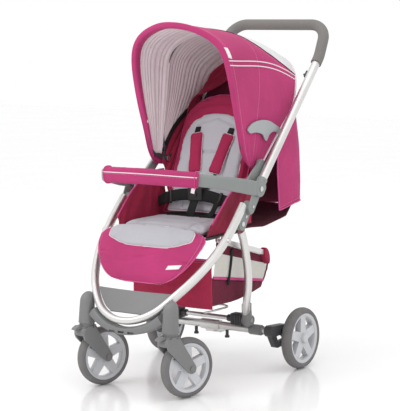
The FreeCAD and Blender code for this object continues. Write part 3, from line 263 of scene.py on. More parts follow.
MAG = (0.46, 0.040, 0.160)
# The magenta cloth darkened and shifted to red: painted shade and red bounce light for the inner fabrics that lie in
# shade.
MAG_PAINTED_SHADE = (0.33, 0.018, 0.058)
M = {
    "magenta": fabric("cloth_magenta", MAG, wrinkle=0.35),
    "magenta_smooth": fabric("cloth_magenta_taut", MAG, wrinkle=0.16),
    # inner fabrics (wing liner, seat sides, bar pockets): magenta with painted shade and red bounce light
    "magenta_painted_shade": fabric("cloth_magenta_painted_shade", MAG_PAINTED_SHADE, wrinkle=0.5),
    # basket front: the magenta cloth made redder, painted shade and red bounce light
    "basket_magenta_painted_shade": fabric("cloth_basket_painted_shade", (0.50, 0.035, 0.095), wrinkle=0.6),
    # backrest cover and shoulder pads: a darker red copy of the magenta cloth, painted shade
    "pad_magenta_painted_shade": fabric("cloth_pad_painted_shade", (0.36, 0.018, 0.075), wrinkle=0.35),
    "maroon": fabric("cloth_maroon", (0.14, 0.012, 0.035), wrinkle=0.5),
    "grey": fabric("cloth_grey", (0.47, 0.47, 0.505), wrinkle=0.42, weave=230, mottled=0.05),
    "lining": fabric("cloth_lining", (0.90, 0.80, 0.83), wrinkle=0.6, mottled=0.05, weave=300, sheen=0.1),
    "panel": fabric("cloth_panel", (0.70, 0.70, 0.71), wrinkle=0.15, mottled=0.04),
    "piping": fabric("piping_pale", (0.86, 0.70, 0.76), wrinkle=0.1, weave=400, mottled=0.03),
    "pipe_mag": fabric("piping_magenta", (0.60, 0.07, 0.24), wrinkle=0.1, weave=400, mottled=0.05),
    "thread": fabric("thread_pale", (0.72, 0.40, 0.52), wrinkle=0.0, weave=900),
    "thread_grey": fabric("thread_grey", (0.34, 0.34, 0.37), wrinkle=0.0, weave=900),
    "tag": fabric("woven_tag", (0.85, 0.84, 0.82), wrinkle=0.05, weave=700, mottled=0.03),
    "black": webbing("webbing"),
    "black_plastic": plastic("plastic_black", (0.012, 0.012, 0.013), 0.42, 0.1),
    "dark": plastic("plastic_dark", (0.055, 0.056, 0.06), 0.5, 0.14),
    "grey_plastic": plastic("plastic_grey", (0.19, 0.19, 0.193), 0.48, 0.14),
    "joint": plastic("plastic_joint", (0.235, 0.255, 0.25), 0.44, 0.12, coat=0.05),
    "trim": plastic("plastic_trim", (0.36, 0.38, 0.39), 0.4, 0.08, coat=0.1),
    "rim": plastic("plastic_rim", (0.56, 0.57, 0.59), 0.36, 0.05, coat=0.2),
    "alu": metal("aluminium", (0.72, 0.715, 0.70), 0.36),
    "steel": metal("steel", (0.66, 0.66, 0.66), 0.28),
    "foam": fabric("grip_foam", (0.20, 0.19, 0.183), wrinkle=0.08, weave=900, rough=0.92, sheen=0.12, fine=0.25, mottled=0.05),
    "net": mesh_cloth("cloth_net", (0.42, 0.39, 0.33)),
}


def paint(material, *names):
    for n in names:
        o = NODES[n]
        o.data.materials.clear()
        o.data.materials.append(material)


paint(M["alu"], "front_loop", "push_tubes", "rear_legs", "rear_cross_tubes", "seat_bars", "handle_bar", "brake_pedal")
paint(M["grey_plastic"], "caster_bridge", "footrest", "leg_feet", "swivel_lock_near", "swivel_lock_far", "caster_fork_near", "caster_fork_far", "axle_clamps")
paint(M["joint"], "bumper_bar", "hinge_housings", "push_knuckles", "hood_brackets")
paint(M["trim"], "hood_crescents")
paint(M["dark"], "wheel_brackets", "brake_boxes", "fold_release", "seat_board", "back_board", "hood_bow_front", "hood_bow_mid", "hood_bow_rear")
paint(M["black_plastic"], "buckle", "buckle_button")
paint(M["steel"], "pivot_pins", "frame_fasteners", "seat_cross_rods", "basket_wire")
paint(M["rim"], "rear_rim_near", "rear_rim_far", "front_rim_near", "front_rim_far")
paint(M["foam"], "handle_grip")
paint(M["magenta_painted_shade"], "bar_pockets")
for side, sg in (("near", 1), ("far", -1)):
    paint(tyre("tyre_rear_" + side, (sg * 0.256, Y0 / 1000, 0.095), 0.0, 0.095, 0.036), "rear_tyre_" + side)
    paint(tyre("tyre_front_" + side, tuple(P(sg * 151.5 + 17.3, -544 + 53.3, 88.4)), math.radians(18), 0.0884, 0.034), "front_tyre_" + side)


# ---------------------------------------------------------------- geometry helpers
def lin(xs, ys, x):
    return float(np.interp(x, xs, ys))


def smooth_table(rows):
    xs, ys = [r[0] for r in rows], [r[1] for r in rows]
    n = len(xs)
    h = [xs[i + 1] - xs[i] for i in range(n - 1)]
    al = [0.0] + [3 * ((ys[i + 1] - ys[i]) / h[i] - (ys[i] - ys[i - 1]) / h[i - 1]) for i in range(1, n - 1)]
    l, mu, z = [1.0] * n, [0.0] * n, [0.0] * n
    for i in range(1, n - 1):
        l[i] = 2 * (xs[i + 1] - xs[i - 1]) - h[i - 1] * mu[i - 1]
        mu[i] = h[i] / l[i]
        z[i] = (al[i] - h[i - 1] * z[i - 1]) / l[i]
    c, b, d = [0.0] * n, [0.0] * n, [0.0] * n
    for j in range(n - 2, -1, -1):
        c[j] = z[j] - mu[j] * c[j + 1]
        b[j] = (ys[j + 1] - ys[j]) / h[j] - h[j] * (c[j + 1] + 2 * c[j]) / 3
        d[j] = (c[j + 1] - c[j]) / (3 * h[j])

    def f(x):
        i = 0
        while i < n - 2 and x > xs[i + 1]:
            i += 1
        t = x - xs[i]
        return ys[i] + b[i] * t + c[i] * t * t + d[i] * t ** 3

    return f


def link_obj(name, verts, faces, mats, fm=None, smooth=True):
    me = bpy.data.meshes.new(name)
    me.from_pydata([tuple(v) for v in verts], [], faces)
    for m in mats:
        me.materials.append(m)
    if fm:
        me.polygons.foreach_set("material_index", fm)
    me.polygons.foreach_set("use_smooth", [smooth] * len(me.polygons))
    me.update()
    o = bpy.data.objects.new(name, me)
    scene.collection.objects.link(o)
    return o


def nrm(fn, u, v):
    e = 2e-3
    a = fn(min(1, u + e), v) - fn(max(0, u - e), v)
    b = fn(u, min(1, v + e)) - fn(u, max(0, v - e))
    n = a.cross(b)
    return n.normalized() if n.length > 1e-12 else Vector((0, 0, 1))


def grid(name, fn, us, vs, mats, pick=None, off=None, thick=0.0, inner=None, flip=False):
    """Sheet over fn(u, v) in metres. off(u, v) lifts it along the normal. thick makes it a closed cloth."""
    if isinstance(us, int):
        us = [i / us for i in range(us + 1)]
    if isinstance(vs, int):
        vs = [i / vs for i in range(vs + 1)]
    V_, F, fm = [], [], []
    for u in us:
        for v in vs:
            p = fn(u, v)
            if off:
                p = p + nrm(fn, u, v) * (off(u, v) * (-1 if flip else 1))
            V_.append(p)
    n = len(vs)
    for i in range(len(us) - 1):
        for j in range(n - 1):
            q = (i * n + j, (i + 1) * n + j, (i + 1) * n + j + 1, i * n + j + 1)
            F.append(q[::-1] if flip else q)
            fm.append(pick((us[i] + us[i + 1]) / 2, (vs[j] + vs[j + 1]) / 2) if pick else 0)
    o = link_obj(name, V_, F, mats, fm)
    if thick:
        s = o.modifiers.new("cloth", "SOLIDIFY")
        s.thickness = thick
        s.offset = -1
        if inner is not None:
            o.data.materials.append(inner)
            s.material_offset = len(mats)
            s.material_offset_rim = 0
        bake(o)
    return o


def bake(o):
    dg = bpy.context.evaluated_depsgraph_get()
    me = bpy.data.meshes.new_from_object(o.evaluated_get(dg))
    o.modifiers.clear()
    o.data = me
    return o


def tube(name, pts, r, mat, n=10, closed=False, up=None):
    """Swept round or oval cord. r is a radius, or (a, b) half sizes with a along up."""
    pts = [Vector(p) for p in pts]
    N = len(pts)
    V_, F = [], []
    prev = None
    for i, p in enumerate(pts):
        a = pts[(i - 1) % N] if closed or i > 0 else p
        b = pts[(i + 1) % N] if closed or i < N - 1 else p
        d = (b - a).normalized()
        g = Vector(up(i)) if callable(up) else Vector(up) if up is not None else (prev if prev is not None else Vector((0.31, 0.17, 0.93)))
        g = g - d * g.dot(d)
        g.normalize()
        prev = g
        w = d.cross(g)
        ra, rb = r(i / (N - 1)) if callable(r) else r if isinstance(r, tuple) else (r, r)
        for k in range(n):
            t = 2 * math.pi * k / n
            c, s = math.cos(t), math.sin(t)
            if isinstance(r, tuple) or callable(r):
                c, s = math.copysign(abs(c) ** 0.55, c), math.copysign(abs(s) ** 0.55, s)
            V_.append(p + g * (ra * c) + w * (rb * s))
    for i in range(N if closed else N - 1):
        for k in range(n):
            F.append((i * n + k, i * n + (k + 1) % n, ((i + 1) % N) * n + (k + 1) % n, ((i + 1) % N) * n + k))
    if not closed:
        F.append(tuple(range(n - 1, -1, -1)))
        F.append(tuple((N - 1) * n + k for k in range(n)))
    return link_obj(name, V_, F, [mat])


def resample(pts, step, closed=False):
    pts = [Vector(p) for p in pts]
    if closed:
        pts = pts + [pts[0]]
    L = [0.0]
    for a, b in zip(pts, pts[1:]):
        L.append(L[-1] + (b - a).length)
    n = max(2, int(L[-1] / step))
    out, j = [], 0
    for i in range(n + (0 if closed else 1)):
        s = L[-1] * i / n
        while j < len(L) - 2 and L[j + 1] < s:
            j += 1
        t = (s - L[j]) / max(L[j + 1] - L[j], 1e-9)
        out.append(pts[j].lerp(pts[j + 1], t))
    return out


def stitches(name, pts, mat, gap=0.0046, length=0.0029, r=0.00045, closed=False):
    q = resample(pts, gap / 2, closed)
    V_, F = [], []
    for i in range(0, len(q) - 1, 2):
        a, b = q[i], q[i + 1]
        d = (b - a)
        if d.length < 1e-6:
            continue
        d.normalize()
        m = (a + b) / 2
        g = Vector((0.3, 0.2, 0.9)); g = (g - d * g.dot(d)).normalized(); w = d.cross(g)
        base = len(V_)
        for t, rr in ((-0.5, 0.35), (-0.25, 1.0), (0.25, 1.0), (0.5, 0.35)):
            for k in range(5):
                th = 2 * math.pi * k / 5
                V_.append(m + d * (length * t) + g * (r * rr * math.cos(th)) + w * (r * rr * math.sin(th)))
        for s in range(3):
            for k in range(5):
                F.append((base + s * 5 + k, base + s * 5 + (k + 1) % 5, base + (s + 1) * 5 + (k + 1) % 5, base + (s + 1) * 5 + k))
        F.append(tuple(base + k for k in range(4, -1, -1)))
        F.append(tuple(base + 15 + k for k in range(5)))
    return link_obj(name, V_, F, [mat])


def fbm(p, scale, seed=0.0):
    return noise.noise(Vector(p) * scale + Vector((seed, seed * 1.7, -seed))) + 0.5 * noise.noise(Vector(p) * scale * 2.1 + Vector((seed + 9, seed, 3)))


def even(pts, n, w=(1, 1)):
    """n points evenly round the closed outline pts of (a, b)."""
    q = [Vector((p[0] * w[0], p[1] * w[1], 0)) for p in pts]
    q.append(q[0])
    L = [0.0]
    for a, b in zip(q, q[1:]):
        L.append(L[-1] + (b - a).length)
    out, j = [], 0
    for i in range(n):
        s = L[-1] * i / n
        while j < len(L) - 2 and L[j + 1] < s:
            j += 1
        t = (s - L[j]) / max(L[j + 1] - L[j], 1e-9)
        p = q[j].lerp(q[j + 1], t)
        out.append((p.x / w[0], p.y / w[1]))
    return out


def pillow(name, outline, centre, to3d, d0, d1, mats, n=120, rings=16, edge=0.35, w=(1, 1), power=2.6, seed=1.0, rough=0.0):
    """Crowned closed pad over an outline of (a, b). Front rises from the mid depth at the seam to d1, the back to d0."""
    ol = even(outline, n, w)
    mid = d0 + (d1 - d0) * edge
    V_, F = [], []
    fr, bk = [], []
    for side, D in ((0, d1), (1, d0)):
        rows = []
        for i in range(rings + 1):
            rho = 1 - (i / rings) ** 1.5 if False else 1 - i / rings
            prof = (1 - rho ** power) ** (1 / power)
            if side == 1 and i == 0:
                rows.append(fr[0])
                continue
            row = []
            for (a, b) in (ol if i < rings else ol[:1]):
                x, y = centre[0] + (a - centre[0]) * rho, centre[1] + (b - centre[1]) * rho
                d = mid + (D - mid) * prof
                p = to3d(x, y, d)
                if rough and side == 0:
                    d += rough * fbm(p, 22, seed) * min(1, 3 * (1 - rho) + 0.25)
                    p = to3d(x, y, d)
                row.append(len(V_))
                V_.append(p)
            rows.append(row)
        if side == 0:
            fr = rows
        for i in range(rings - 1):
            A, B = rows[i], rows[i + 1]
            for k in range(n):
                q = (A[k], A[(k + 1) % n], B[(k + 1) % n], B[k])
                F.append(q if side == 0 else q[::-1])
        A, c = rows[rings - 1], rows[rings][0]
        for k in range(n):
            q = (A[k], A[(k + 1) % n], c)
            F.append(q if side == 0 else q[::-1])
    return link_obj(name, V_, F, mats)


def outward(o):
    import bmesh
    bm = bmesh.new()
    bm.from_mesh(o.data)
    bmesh.ops.recalc_face_normals(bm, faces=bm.faces)
    bm.to_mesh(o.data)
    bm.free()
    return o


def puff(o, voxel=0.005, pressure=4.0, frames=16, cap=0.007, grow=-0.04, pins=None):
    """Voxel remesh, swell as cloth under pressure, keep the result within cap, then smooth."""
    outward(o)
    mats = list(o.data.materials)
    r = o.modifiers.new("r", "REMESH")
    r.mode = "VOXEL"
    r.voxel_size = voxel
    bake(o)
    rest = np.array([v.co for v in o.data.vertices], float)
    if pins:
        g = o.vertex_groups.new(name="pins")
        idx = [i for i, p in enumerate(rest) if pins(Vector(p))]
        if idx:
            g.add(idx, 1.0, "REPLACE")
    c = o.modifiers.new("c", "CLOTH")
    s = c.settings
    s.quality = 4
    s.mass = 0.2
    s.tension_stiffness = 18
    s.compression_stiffness = 18
    s.shear_stiffness = 6
    s.bending_stiffness = 0.4
    s.use_pressure = True
    s.uniform_pressure_force = pressure
    s.shrink_min = grow
    s.shrink_max = grow
    s.effector_weights.gravity = 0
    c.collision_settings.use_collision = False
    if pins and idx:
        s.vertex_group_mass = "pins"
    c.point_cache.frame_start = 1
    c.point_cache.frame_end = frames
    for f in range(1, frames + 1):
        scene.frame_set(f)
    bpy.context.view_layer.update()
    dg = bpy.context.evaluated_depsgraph_get()
    me = bpy.data.meshes.new_from_object(o.evaluated_get(dg))
    got = np.array([v.co for v in me.vertices], float)
    o.modifiers.clear()
    scene.frame_set(1)
    if len(got) == len(rest) and np.isfinite(got).all():
        d = got - rest
        L = np.linalg.norm(d, axis=1, keepdims=True)
        got = rest + d * np.minimum(1, cap / np.maximum(L, 1e-9))
        me.vertices.foreach_set("co", got.astype(np.float32).ravel())
    o.data = me
    o.data.materials.clear()
    for m in mats:
        o.data.materials.append(m)
    sm = o.modifiers.new("s", "SMOOTH")
    sm.iterations = 2
    sm.factor = 0.4
    ss = o.modifiers.new("ss", "SUBSURF")
    ss.levels = 1
    ss.render_levels = 1
    bake(o)
    o.data.polygons.foreach_set("use_smooth", [True] * len(o.data.polygons))
    return o


def groove(o, local, lines, depth=0.003, width=0.004, front=0.0, inward=None):
    """Sews channels into a finished pad. local(p) gives (a, b, d) in mm, lines are polylines of (a, b)."""
    segs = [(np.array(a, float), np.array(b, float)) for ln in lines for a, b in zip(ln, ln[1:])]
    co = np.array([v.co for v in o.data.vertices], float)
    loc = np.array([local(Vector(p)) for p in co])
    best = np.full(len(co), 1e9)
    for a, b in segs:
        ab = b - a
        t = np.clip(((loc[:, :2] - a) @ ab) / max(ab @ ab, 1e-9), 0, 1)
        best = np.minimum(best, np.linalg.norm(loc[:, :2] - a - t[:, None] * ab, axis=1))
    k = np.exp(-(best / (width * 1000)) ** 2) * (loc[:, 2] > front) * depth
    co += k[:, None] * np.array(inward)
    o.data.vertices.foreach_set("co", co.astype(np.float32).ravel())
    o.data.update()
    return o


def hug(o, pts, lift=0.0):
    """Moves each point to the nearest spot on the finished piece o."""
    out = []
    for p in pts:
        ok, loc, no, i = o.closest_point_on_mesh(p)
        out.append(loc + no * lift if ok else p)
    n = len(out)
    for k in range(2):
        out = [(out[i - 1] + out[i] * 2 + out[(i + 1) % n]) / 4 for i in range(n)]
    return out


def size_of(o):
    n = np.zeros(len(o.data.polygons))
    o.data.polygons.foreach_get("area", n)
    return float(n.sum())


def cloth(o, closed):
    a = size_of(o) / (2 if closed else 1)
    if not closed:
        a = size_of(o)


# ---------------------------------------------------------------- outlines shared with the solid model, mm


def side_wall(u, v):
    # u along Y from the front to the back, v up
    y = -366 + 214 * u
    z1 = lin([-366, -330, -290, -230, -152], [486, 520, 556, 596, 610], y)
    z0 = lin([-366, -200, -152], [450, 450, 462], y)
    x = lin([0, 0.35, 1], [158, 163, 173], v) + 3 * math.sin(math.pi * u) * v
    return (x, y + 6 * v, z0 + (z1 - z0) * v)

edge = smooth_table([(0, 150), (0.10, 178), (0.25, 190), (0.45, 183), (0.62, 168), (0.78, 144), (0.90, 112), (0.97, 76), (1.0, 48)])

arc_y = smooth_table([(0, -384), (0.12, -399), (0.3, -418), (0.55, -448), (0.8, -476), (1.0, -493)])

arc_z = smooth_table([(0, 466), (0.12, 458), (0.3, 436), (0.55, 393), (0.8, 346), (1.0, 313)])


def apron(u, v):
    x = (2 * u - 1) * edge(v)
    k = (2 * u - 1) ** 2
    return (x, arc_y(v) - 10 * (1 - k) * math.sin(math.pi * min(1, v * 0.8)) - 6 * k, arc_z(v) + 2 * (1 - k))


def apron_pad(u, v):
    p = apron(0.12 + 0.76 * u, 0.13 + 0.33 * v)
    return (p[0], p[1] - 8.3, p[2] + 8.7)


def bump_size(t):
    s = min(t, 1 - t) * 2
    return (lin([0, 0.15, 0.45, 1], [21, 22, 19, 17], s), lin([0, 0.1, 0.3, 1], [3.6, 4.2, 8, 9], s))


def back_outline(w0, w1, s0, s1, wmid=None, n=9):
    """Outline in backrest coordinates: straight sides with an arched head."""
    pts = [(-w0, s0), (w0, s0)]
    sh = s1 - w1 * 0.9
    pts.append((w1, sh))
    for i in range(1, n):
        a = math.pi / 2 * i / n
        pts.append((w1 * math.cos(a) ** 0.85, sh + (s1 - sh) * math.sin(a) ** 0.85))
    pts.append((0, s1))
    for i in range(n - 1, 0, -1):
        a = math.pi / 2 * i / n
        pts.append((-w1 * math.cos(a) ** 0.85, sh + (s1 - sh) * math.sin(a) ** 0.85))
    pts.append((-w1, sh))
    return pts


def curtain(u, v):
    # u round the back from the near side (0) to the far side (1); v up
    s = 2 * u - 1
    a = abs(s)
    z_lo = lin([0, 0.5, 0.66, 0.8, 1], [480, 494, 503, 500, 486], a)
    z_hi = lin([0, 0.45, 0.62, 0.80, 1.0], [905, 880, 850, 770, 700], a)
    z = z_lo + (z_hi - z_lo) * v
    # plan: flat back, round corners, short sides
    back = lin([470, 560, 660, 760, 850, 905], [196, 198, 192, 178, 162, 152], z)
    fy_ = lin([480, 600, 700, 905], [12, 0, 6, 80], z)
    tab = [(0, 0, back), (0.35, 98, back - 4), (0.55, 146, back - 22), (0.66, 164, back - 46), (0.75, 171, back - 72), (1.0, 173.5, fy_)]
    X = smooth_table([(q[0], q[1]) for q in tab])(a)
    Y = lin([q[0] for q in tab], [q[2] for q in tab], a)
    return (X if s < 0 else -X, Y, z)


def sling(u, v):
    x = (2 * u - 1) * lin([0, 0.7, 1], [163, 163, 120], v)
    y = -172 + 345 * v
    z = lin([0, 0.3, 0.7, 1], [452, 446, 462, 486], v) - 12 * (1 - (2 * u - 1) ** 2) * math.sin(math.pi * v)
    return (x, y, z)


def tray(u, v):
    """u across X from near to far, v from the front to the rear. Low walls at the sides."""
    s = 2 * u - 1
    y = -318 + 322 * v
    w = lin([0, 0.75, 0.9, 1], [143, 141, 136, 118], v)
    top = lin([0, 1], [318, 262], v)
    floor_ = lin([0, 0.5, 1], [226, 228, 250], v)
    a = abs(s)
    k = max(0.0, (a - 0.62) / 0.38)
    x = (min(a, 0.72) / 0.72) * (w - 8 * (1 - k))
    z = floor_ + (top - floor_) * k ** 1.6 - 5 * (1 - a ** 2) * math.sin(math.pi * v)
    return (x if s > 0 else -x, y, z)


def basket_panel(u, v):
    s = 2 * u - 1
    w = 145 - 2 * v
    z0, z1 = 225, 372
    return (s * w, -321.5 - 4 * (1 - s * s) + 2 * v, z0 + (z1 - z0) * v)


def mesh_side(u, v):
    y = -316 + 290 * u
    w0 = lin([0, 0.75, 0.9, 1], [145.5, 143.5, 138.5, 120], (y + 318) / 322)
    z0 = lin([-318, 4], [321, 265], y)
    z1 = lin([-322, -72, -20], [424, 353, 341], y)
    return (w0 + (158 - w0) * v, y, z0 + (z1 - z0) * v)


FRONT = [(0.0, 0, -318, 1069.5), (0.037, 22, -315, 1068.5), (0.116, 66, -304, 1060), (0.216, 118, -292, 1038), (0.313, 158, -278, 1001), (0.404, 174, -267, 953), (0.516, 179, -251, 889), (0.661, 179, -228, 807), (0.802, 177, -203, 729), (0.918, 176, -180, 664), (1.0, 175, -150, 630)]
REAR = [(0.0, 0, 185, 962), (0.104, 60, 181, 957), (0.198, 110, 168, 940), (0.278, 142, 150, 914), (0.35, 160, 132, 886), (0.443, 168, 112, 832), (0.617, 170, 51, 762), (0.798, 172, -30, 694), (1.0, 174, -108, 624)]
FT = [smooth_table([(r[0], r[k]) for r in FRONT]) for k in (1, 2, 3)]
RT = [smooth_table([(r[0], r[k]) for r in REAR]) for k in (1, 2, 3)]


def hood(sg, v):
    """Canopy surface, metres. sg runs from 1 at the near tip over 0 at the top to -1 at the far tip."""
    s = min(1.0, abs(sg))
    f = [t(s) for t in FT]
    r = [t(s) for t in RT]
    x, y, z = (f[k] + (r[k] - f[k]) * v for k in range(3))
    z += (1 - s ** 2.2) * 26 * math.sin(math.pi * v) * (0.45 + 0.8 * v)
    return P(x if sg > 0 else -x, y, z)


def hood_n(sg, v):
    e = 2e-3
    v = min(max(v, e), 1 - e)
    sg = min(max(sg, -1 + e), 1 - e)
    n = (hood(sg + e, v) - hood(sg - e, v)).cross(hood(sg, v + e) - hood(sg, v - e)).normalized()
    p = hood(sg, v)
    c = Vector((0, 0.10, 0.66))
    return n if n.dot(p - c) > 0 else -n


def seam_at(v):
    return lin([0, 0.34, 0.42, 0.50, 0.62, 0.78, 1], [0.004, 0.004, 0.13, 0.215, 0.275, 0.305, 0.32], v)


def col(c, v):
    """Column c in -1..1 of the canopy, with the roof panel's seam at |c| = 0.22."""
    b = seam_at(v)
    a = abs(c)
    s = b * a / 0.22 if a < 0.22 else b + (1 - b) * (a - 0.22) / 0.78
    return math.copysign(s, c if c else 1.0)


def gathers(s, v):
    tip = max(0.0, (abs(s) - 0.72) / 0.28)
    return 1.3 * tip * math.sin(2 * math.pi * v * 6.5) + 0.8 * math.sin(math.pi * v) * fbm((abs(s) * 0.9, v * 0.4, 0.2 if s > 0 else 4.0), 7)


def hood_out(c, v):
    s = col(c, v)
    return hood(s, v) + hood_n(s, v) * ((1.7 + gathers(s, v)) / 1000)


FORMS = {}
PIECES = []


def keepb(o, where):
    """where: a body to attach to, or 'hood', for which the piece is only baked in place."""
    if where == "hood":
        a, b = hood(0.0, 0.98), hood(0.0, 0.03)
        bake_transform(o)
    else:
        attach(o, where)
    PIECES.append(o)
    return o


cols = [i / 60 for i in range(-60, 61)]
cols = sorted(set([round(c, 5) for c in cols] + [0.22, -0.22, 0.213, -0.213]))
rows = [i / 44 for i in range(45)]
hood_cloth = grid("hood_cloth", lambda c, v: hood_out(c, v), cols, rows, [M["magenta_smooth"], M["panel"]],
                  pick=lambda c, v: 1 if abs(c) < 0.22 and v > 0.34 else 0, thick=0.0012, inner=M["magenta"])


def on_hood(s, v, d):
    return hood(s, v) + hood_n(s, v) * (d / 1000)


def hood_line(f, v0, v1, n, d):
    return [on_hood(f(v), v, d + gathers(f(v), v)) for v in (v0 + (v1 - v0) * i / n for i in range(n + 1))]


def hood_cord(name, f, v0, v1, d, half, mat, n=56):
    pts, nn = [], []
    for i in range(n + 1):
        v = v0 + (v1 - v0) * i / n
        s = f(v)
        pts.append(on_hood(s, v, d + gathers(s, v)))
        nn.append(hood_n(s, v))
    return tube(name, pts, half, mat, n=8, up=lambda i: nn[i])


hood_bits = []
for sg in (1, -1):
    for k, o_ in enumerate((-0.012, 0.012)):
        f = lambda v, o_=o_, sg=sg: sg * (lin([0, 1], [0.405, 0.345], v) + o_)
        hood_bits.append(hood_cord("hood_piping_%s_%d" % ("near" if sg > 0 else "far", k), f, 0.0, 1.0, 2.4, (0.0011, 0.0018), M["piping"]))
    f = lambda v, sg=sg: sg * (seam_at(v) + 0.004)
    hood_bits.append(hood_cord("hood_seam_%s" % ("near" if sg > 0 else "far"), f, 0.345, 1.0, 2.3, (0.0009, 0.0013), M["black"]))
    hood_bits.append(stitches("hood_stitch_%s" % ("near" if sg > 0 else "far"), hood_line(lambda v, sg=sg: sg * (seam_at(v) + 0.028), 0.45, 0.99, 40, 2.0), M["thread"]))
for nm, v, a in (("front", 0.0, 0.985), ("rear", 1.0, 0.985)):
    pts = [on_hood(-a + 2 * a * i / 120, v, 1.4) for i in range(121)]
    nn = [hood_n(-a + 2 * a * i / 120, v) for i in range(121)]
    hood_bits.append(tube("hood_binding_" + nm, pts, (0.0021, 0.0042), M["magenta"] if nm == "front" else M["piping"], n=10, up=lambda i: nn[i]))
for v in (0.052, 0.435):
    hood_bits.append(stitches("hood_row_%d" % int(v * 1000), [on_hood(-0.9 + 1.8 * i / 140, v, 1.9 + gathers(-0.9 + 1.8 * i / 140, v)) for i in range(141)], M["thread"]))
tag_cols, tag_rows = [i / 6 for i in range(7)], [i / 6 for i in range(7)]
hood_bits.append(grid("hood_tag", lambda a, b: on_hood(lin([0, 1], [0.318, 0.378], a), lin([0, 1], [0.012, 0.062], b), 3.0), 6, 6, [M["tag"]], thick=0.0008))

# the pleated lining and the plain band inside the front edge
def lining_in(v):
    d = 5.8 + 1.0 * math.sin(2 * math.pi * (24 * v + 0.35 * math.sin(11 * v) + 0.2 * math.sin(31 * v + 1)))
    for vb, k in ((0.0, 7.5), (0.42, 9.0), (1.0, 0.0)):
        d += k * math.exp(-((v - vb) / 0.035) ** 2)
    return d


def lining(sc_, v):
    s = sc_ * 0.93
    d = lining_in(v) * min(1, 8 * (1 - abs(s)))
    w = 0.55 + 0.45 * fbm((s * 0.6, v * 2.2, 5.0), 3)
    return on_hood(s, v + 0.004 * fbm((s, v, 1.0), 3), -d * (0.75 + 0.25 * w) - 2.5 * fbm((s, v * 1.5, 2.0), 3.2) * (1 - abs(s)) ** 0.5)


lin_rows = [0.058 + (0.985 - 0.058) * i / 230 for i in range(231)]
hood_lining = grid("hood_lining", lining, [i / 40 for i in range(-40, 41)], lin_rows, [M["lining"]], thick=0.0007)


BAND = [(0.0, -0.003, 2.0), (0.10, -0.011, 0.0), (0.22, -0.0135, -6.0), (0.34, -0.009, -12.0), (0.45, 0.002, -14.0), (0.72, 0.030, -13.2), (1.0, 0.060, -10.0)]
BV = smooth_table([(r[0], r[1]) for r in BAND])
BDP = smooth_table([(r[0], r[2]) for r in BAND])


def band(sc_, t):
    s = sc_ * 0.965
    k = min(1, 8 * (1 - abs(s)))
    return hood(s, BV(t) * k) + hood_n(s, 0.01) * (BDP(t) * k / 1000)


hood_band = grid("hood_band", band, [i / 60 for i in range(-60, 61)], 24, [M["magenta"]], thick=0.0009)
hood_bits.append(stitches("band_stitch", [band(-0.95 + 1.9 * i / 120, 0.9) - (hood_n(-0.95 + 1.9 * i / 120, 0.05) * 0.0008) for i in range(121)], M["thread"]))


def disc(name, p, n, r, h, mat, k=20):
    n = n.normalized()
    g = n.orthogonal().normalized(); w = n.cross(g)
    V_, F = [], []
    prof = [(0, h), (r * 0.6, h), (r * 0.9, h * 0.8), (r, h * 0.4), (r, -0.0006)]
    V_.append(p + n * h)
    for (rr, hh) in prof[1:]:
        for i in range(k):
            t = 2 * math.pi * i / k
            V_.append(p + n * hh + g * (rr * math.cos(t)) + w * (rr * math.sin(t)))
    for i in range(k):
        F.append((0, 1 + i, 1 + (i + 1) % k))
    for j in range(3):
        for i in range(k):
            F.append((1 + j * k + i, 1 + (j + 1) * k + i, 1 + (j + 1) * k + (i + 1) % k, 1 + j * k + (i + 1) % k))
    F.append(tuple(1 + 3 * k + i for i in range(k - 1, -1, -1)))
    return link_obj(name, V_, F, [mat])


for sg, nm in ((-1, "far"), (1, "near")):
    p = band(sg * 0.735 / 0.965, 0.7)
    n = -hood_n(sg * 0.735, 0.03)
    hood_bits.append(disc("hood_snap_" + nm, p + n * 0.0006, n, 0.0052, 0.0022, M["piping"]))

# ---------------------------------------------------------------- shell behind the seat
def curtain_p(u, v):
    x, y, z = curtain(u, v)
    p = P(x, y, z)
    fold = 1.6 * math.sin(2 * math.pi * (u * 11 + 0.25 * math.sin(v * 5))) * math.sin(math.pi * v) ** 0.6 + 2.2 * fbm((u * 1.3, v * 0.8, 1.0), 5)
    side = 1 - min(1, max(0, (abs(2 * u - 1) - 0.55) / 0.2)) * 0.55
    q = Vector((x, y + 60, 0)).normalized()
    return p + q * (fold * side / 1000 + 0.0012)


shell = grid("shell_curtain", curtain_p, 96, 40, [M["magenta"]], thick=0.0012, inner=M["maroon"])
sling_p = lambda u, v: P(*sling(u, v)) + Vector((0, 0, (1.8 * fbm((u, v, 3.0), 4) + 1.2 * math.sin(12 * v)) / 1000))
seat_sling = grid("seat_sling", sling_p, 30, 36, [M["maroon"]], thick=0.0014)
shell_bits = []
hem = [curtain_p(i / 90, 0.0) for i in range(91)]
shell_bits.append(tube("shell_hem", hem, 0.0024, M["pipe_mag"], n=8))
shell_bits.append(stitches("shell_hem_stitch", [curtain_p(i / 120, 0.035) + Vector((math.copysign(0.0012, 0.5 - i / 120) if abs(i / 60 - 1) > 0.7 else 0, 0.0014 if abs(i / 60 - 1) < 0.72 else 0, 0)) for i in range(121)], M["thread"]))
for u, nm in ((0.0, "near"), (1.0, "far")):
    shell_bits.append(tube("shell_edge_" + nm, [curtain_p(u, i / 40) for i in range(41)], (0.0034, 0.0019), M["pipe_mag"], n=8, up=(0, 1, 0)))
shell_bits.append(tube("shell_top", [curtain_p(i / 90, 1.0) for i in range(91)], 0.0019, M["pipe_mag"], n=8))


# wing liner between the hood's rear edge and the backrest
BA = math.radians(67)
BD = Vector((0, math.cos(BA), math.sin(BA)))
BN = Vector((0, -math.sin(BA), math.cos(BA)))


def back(x, s, d):
    y = -168 + BD.y * s + BN.y * d
    z = 466 + BD.z * s + BN.z * d
    return P(x, y, z)


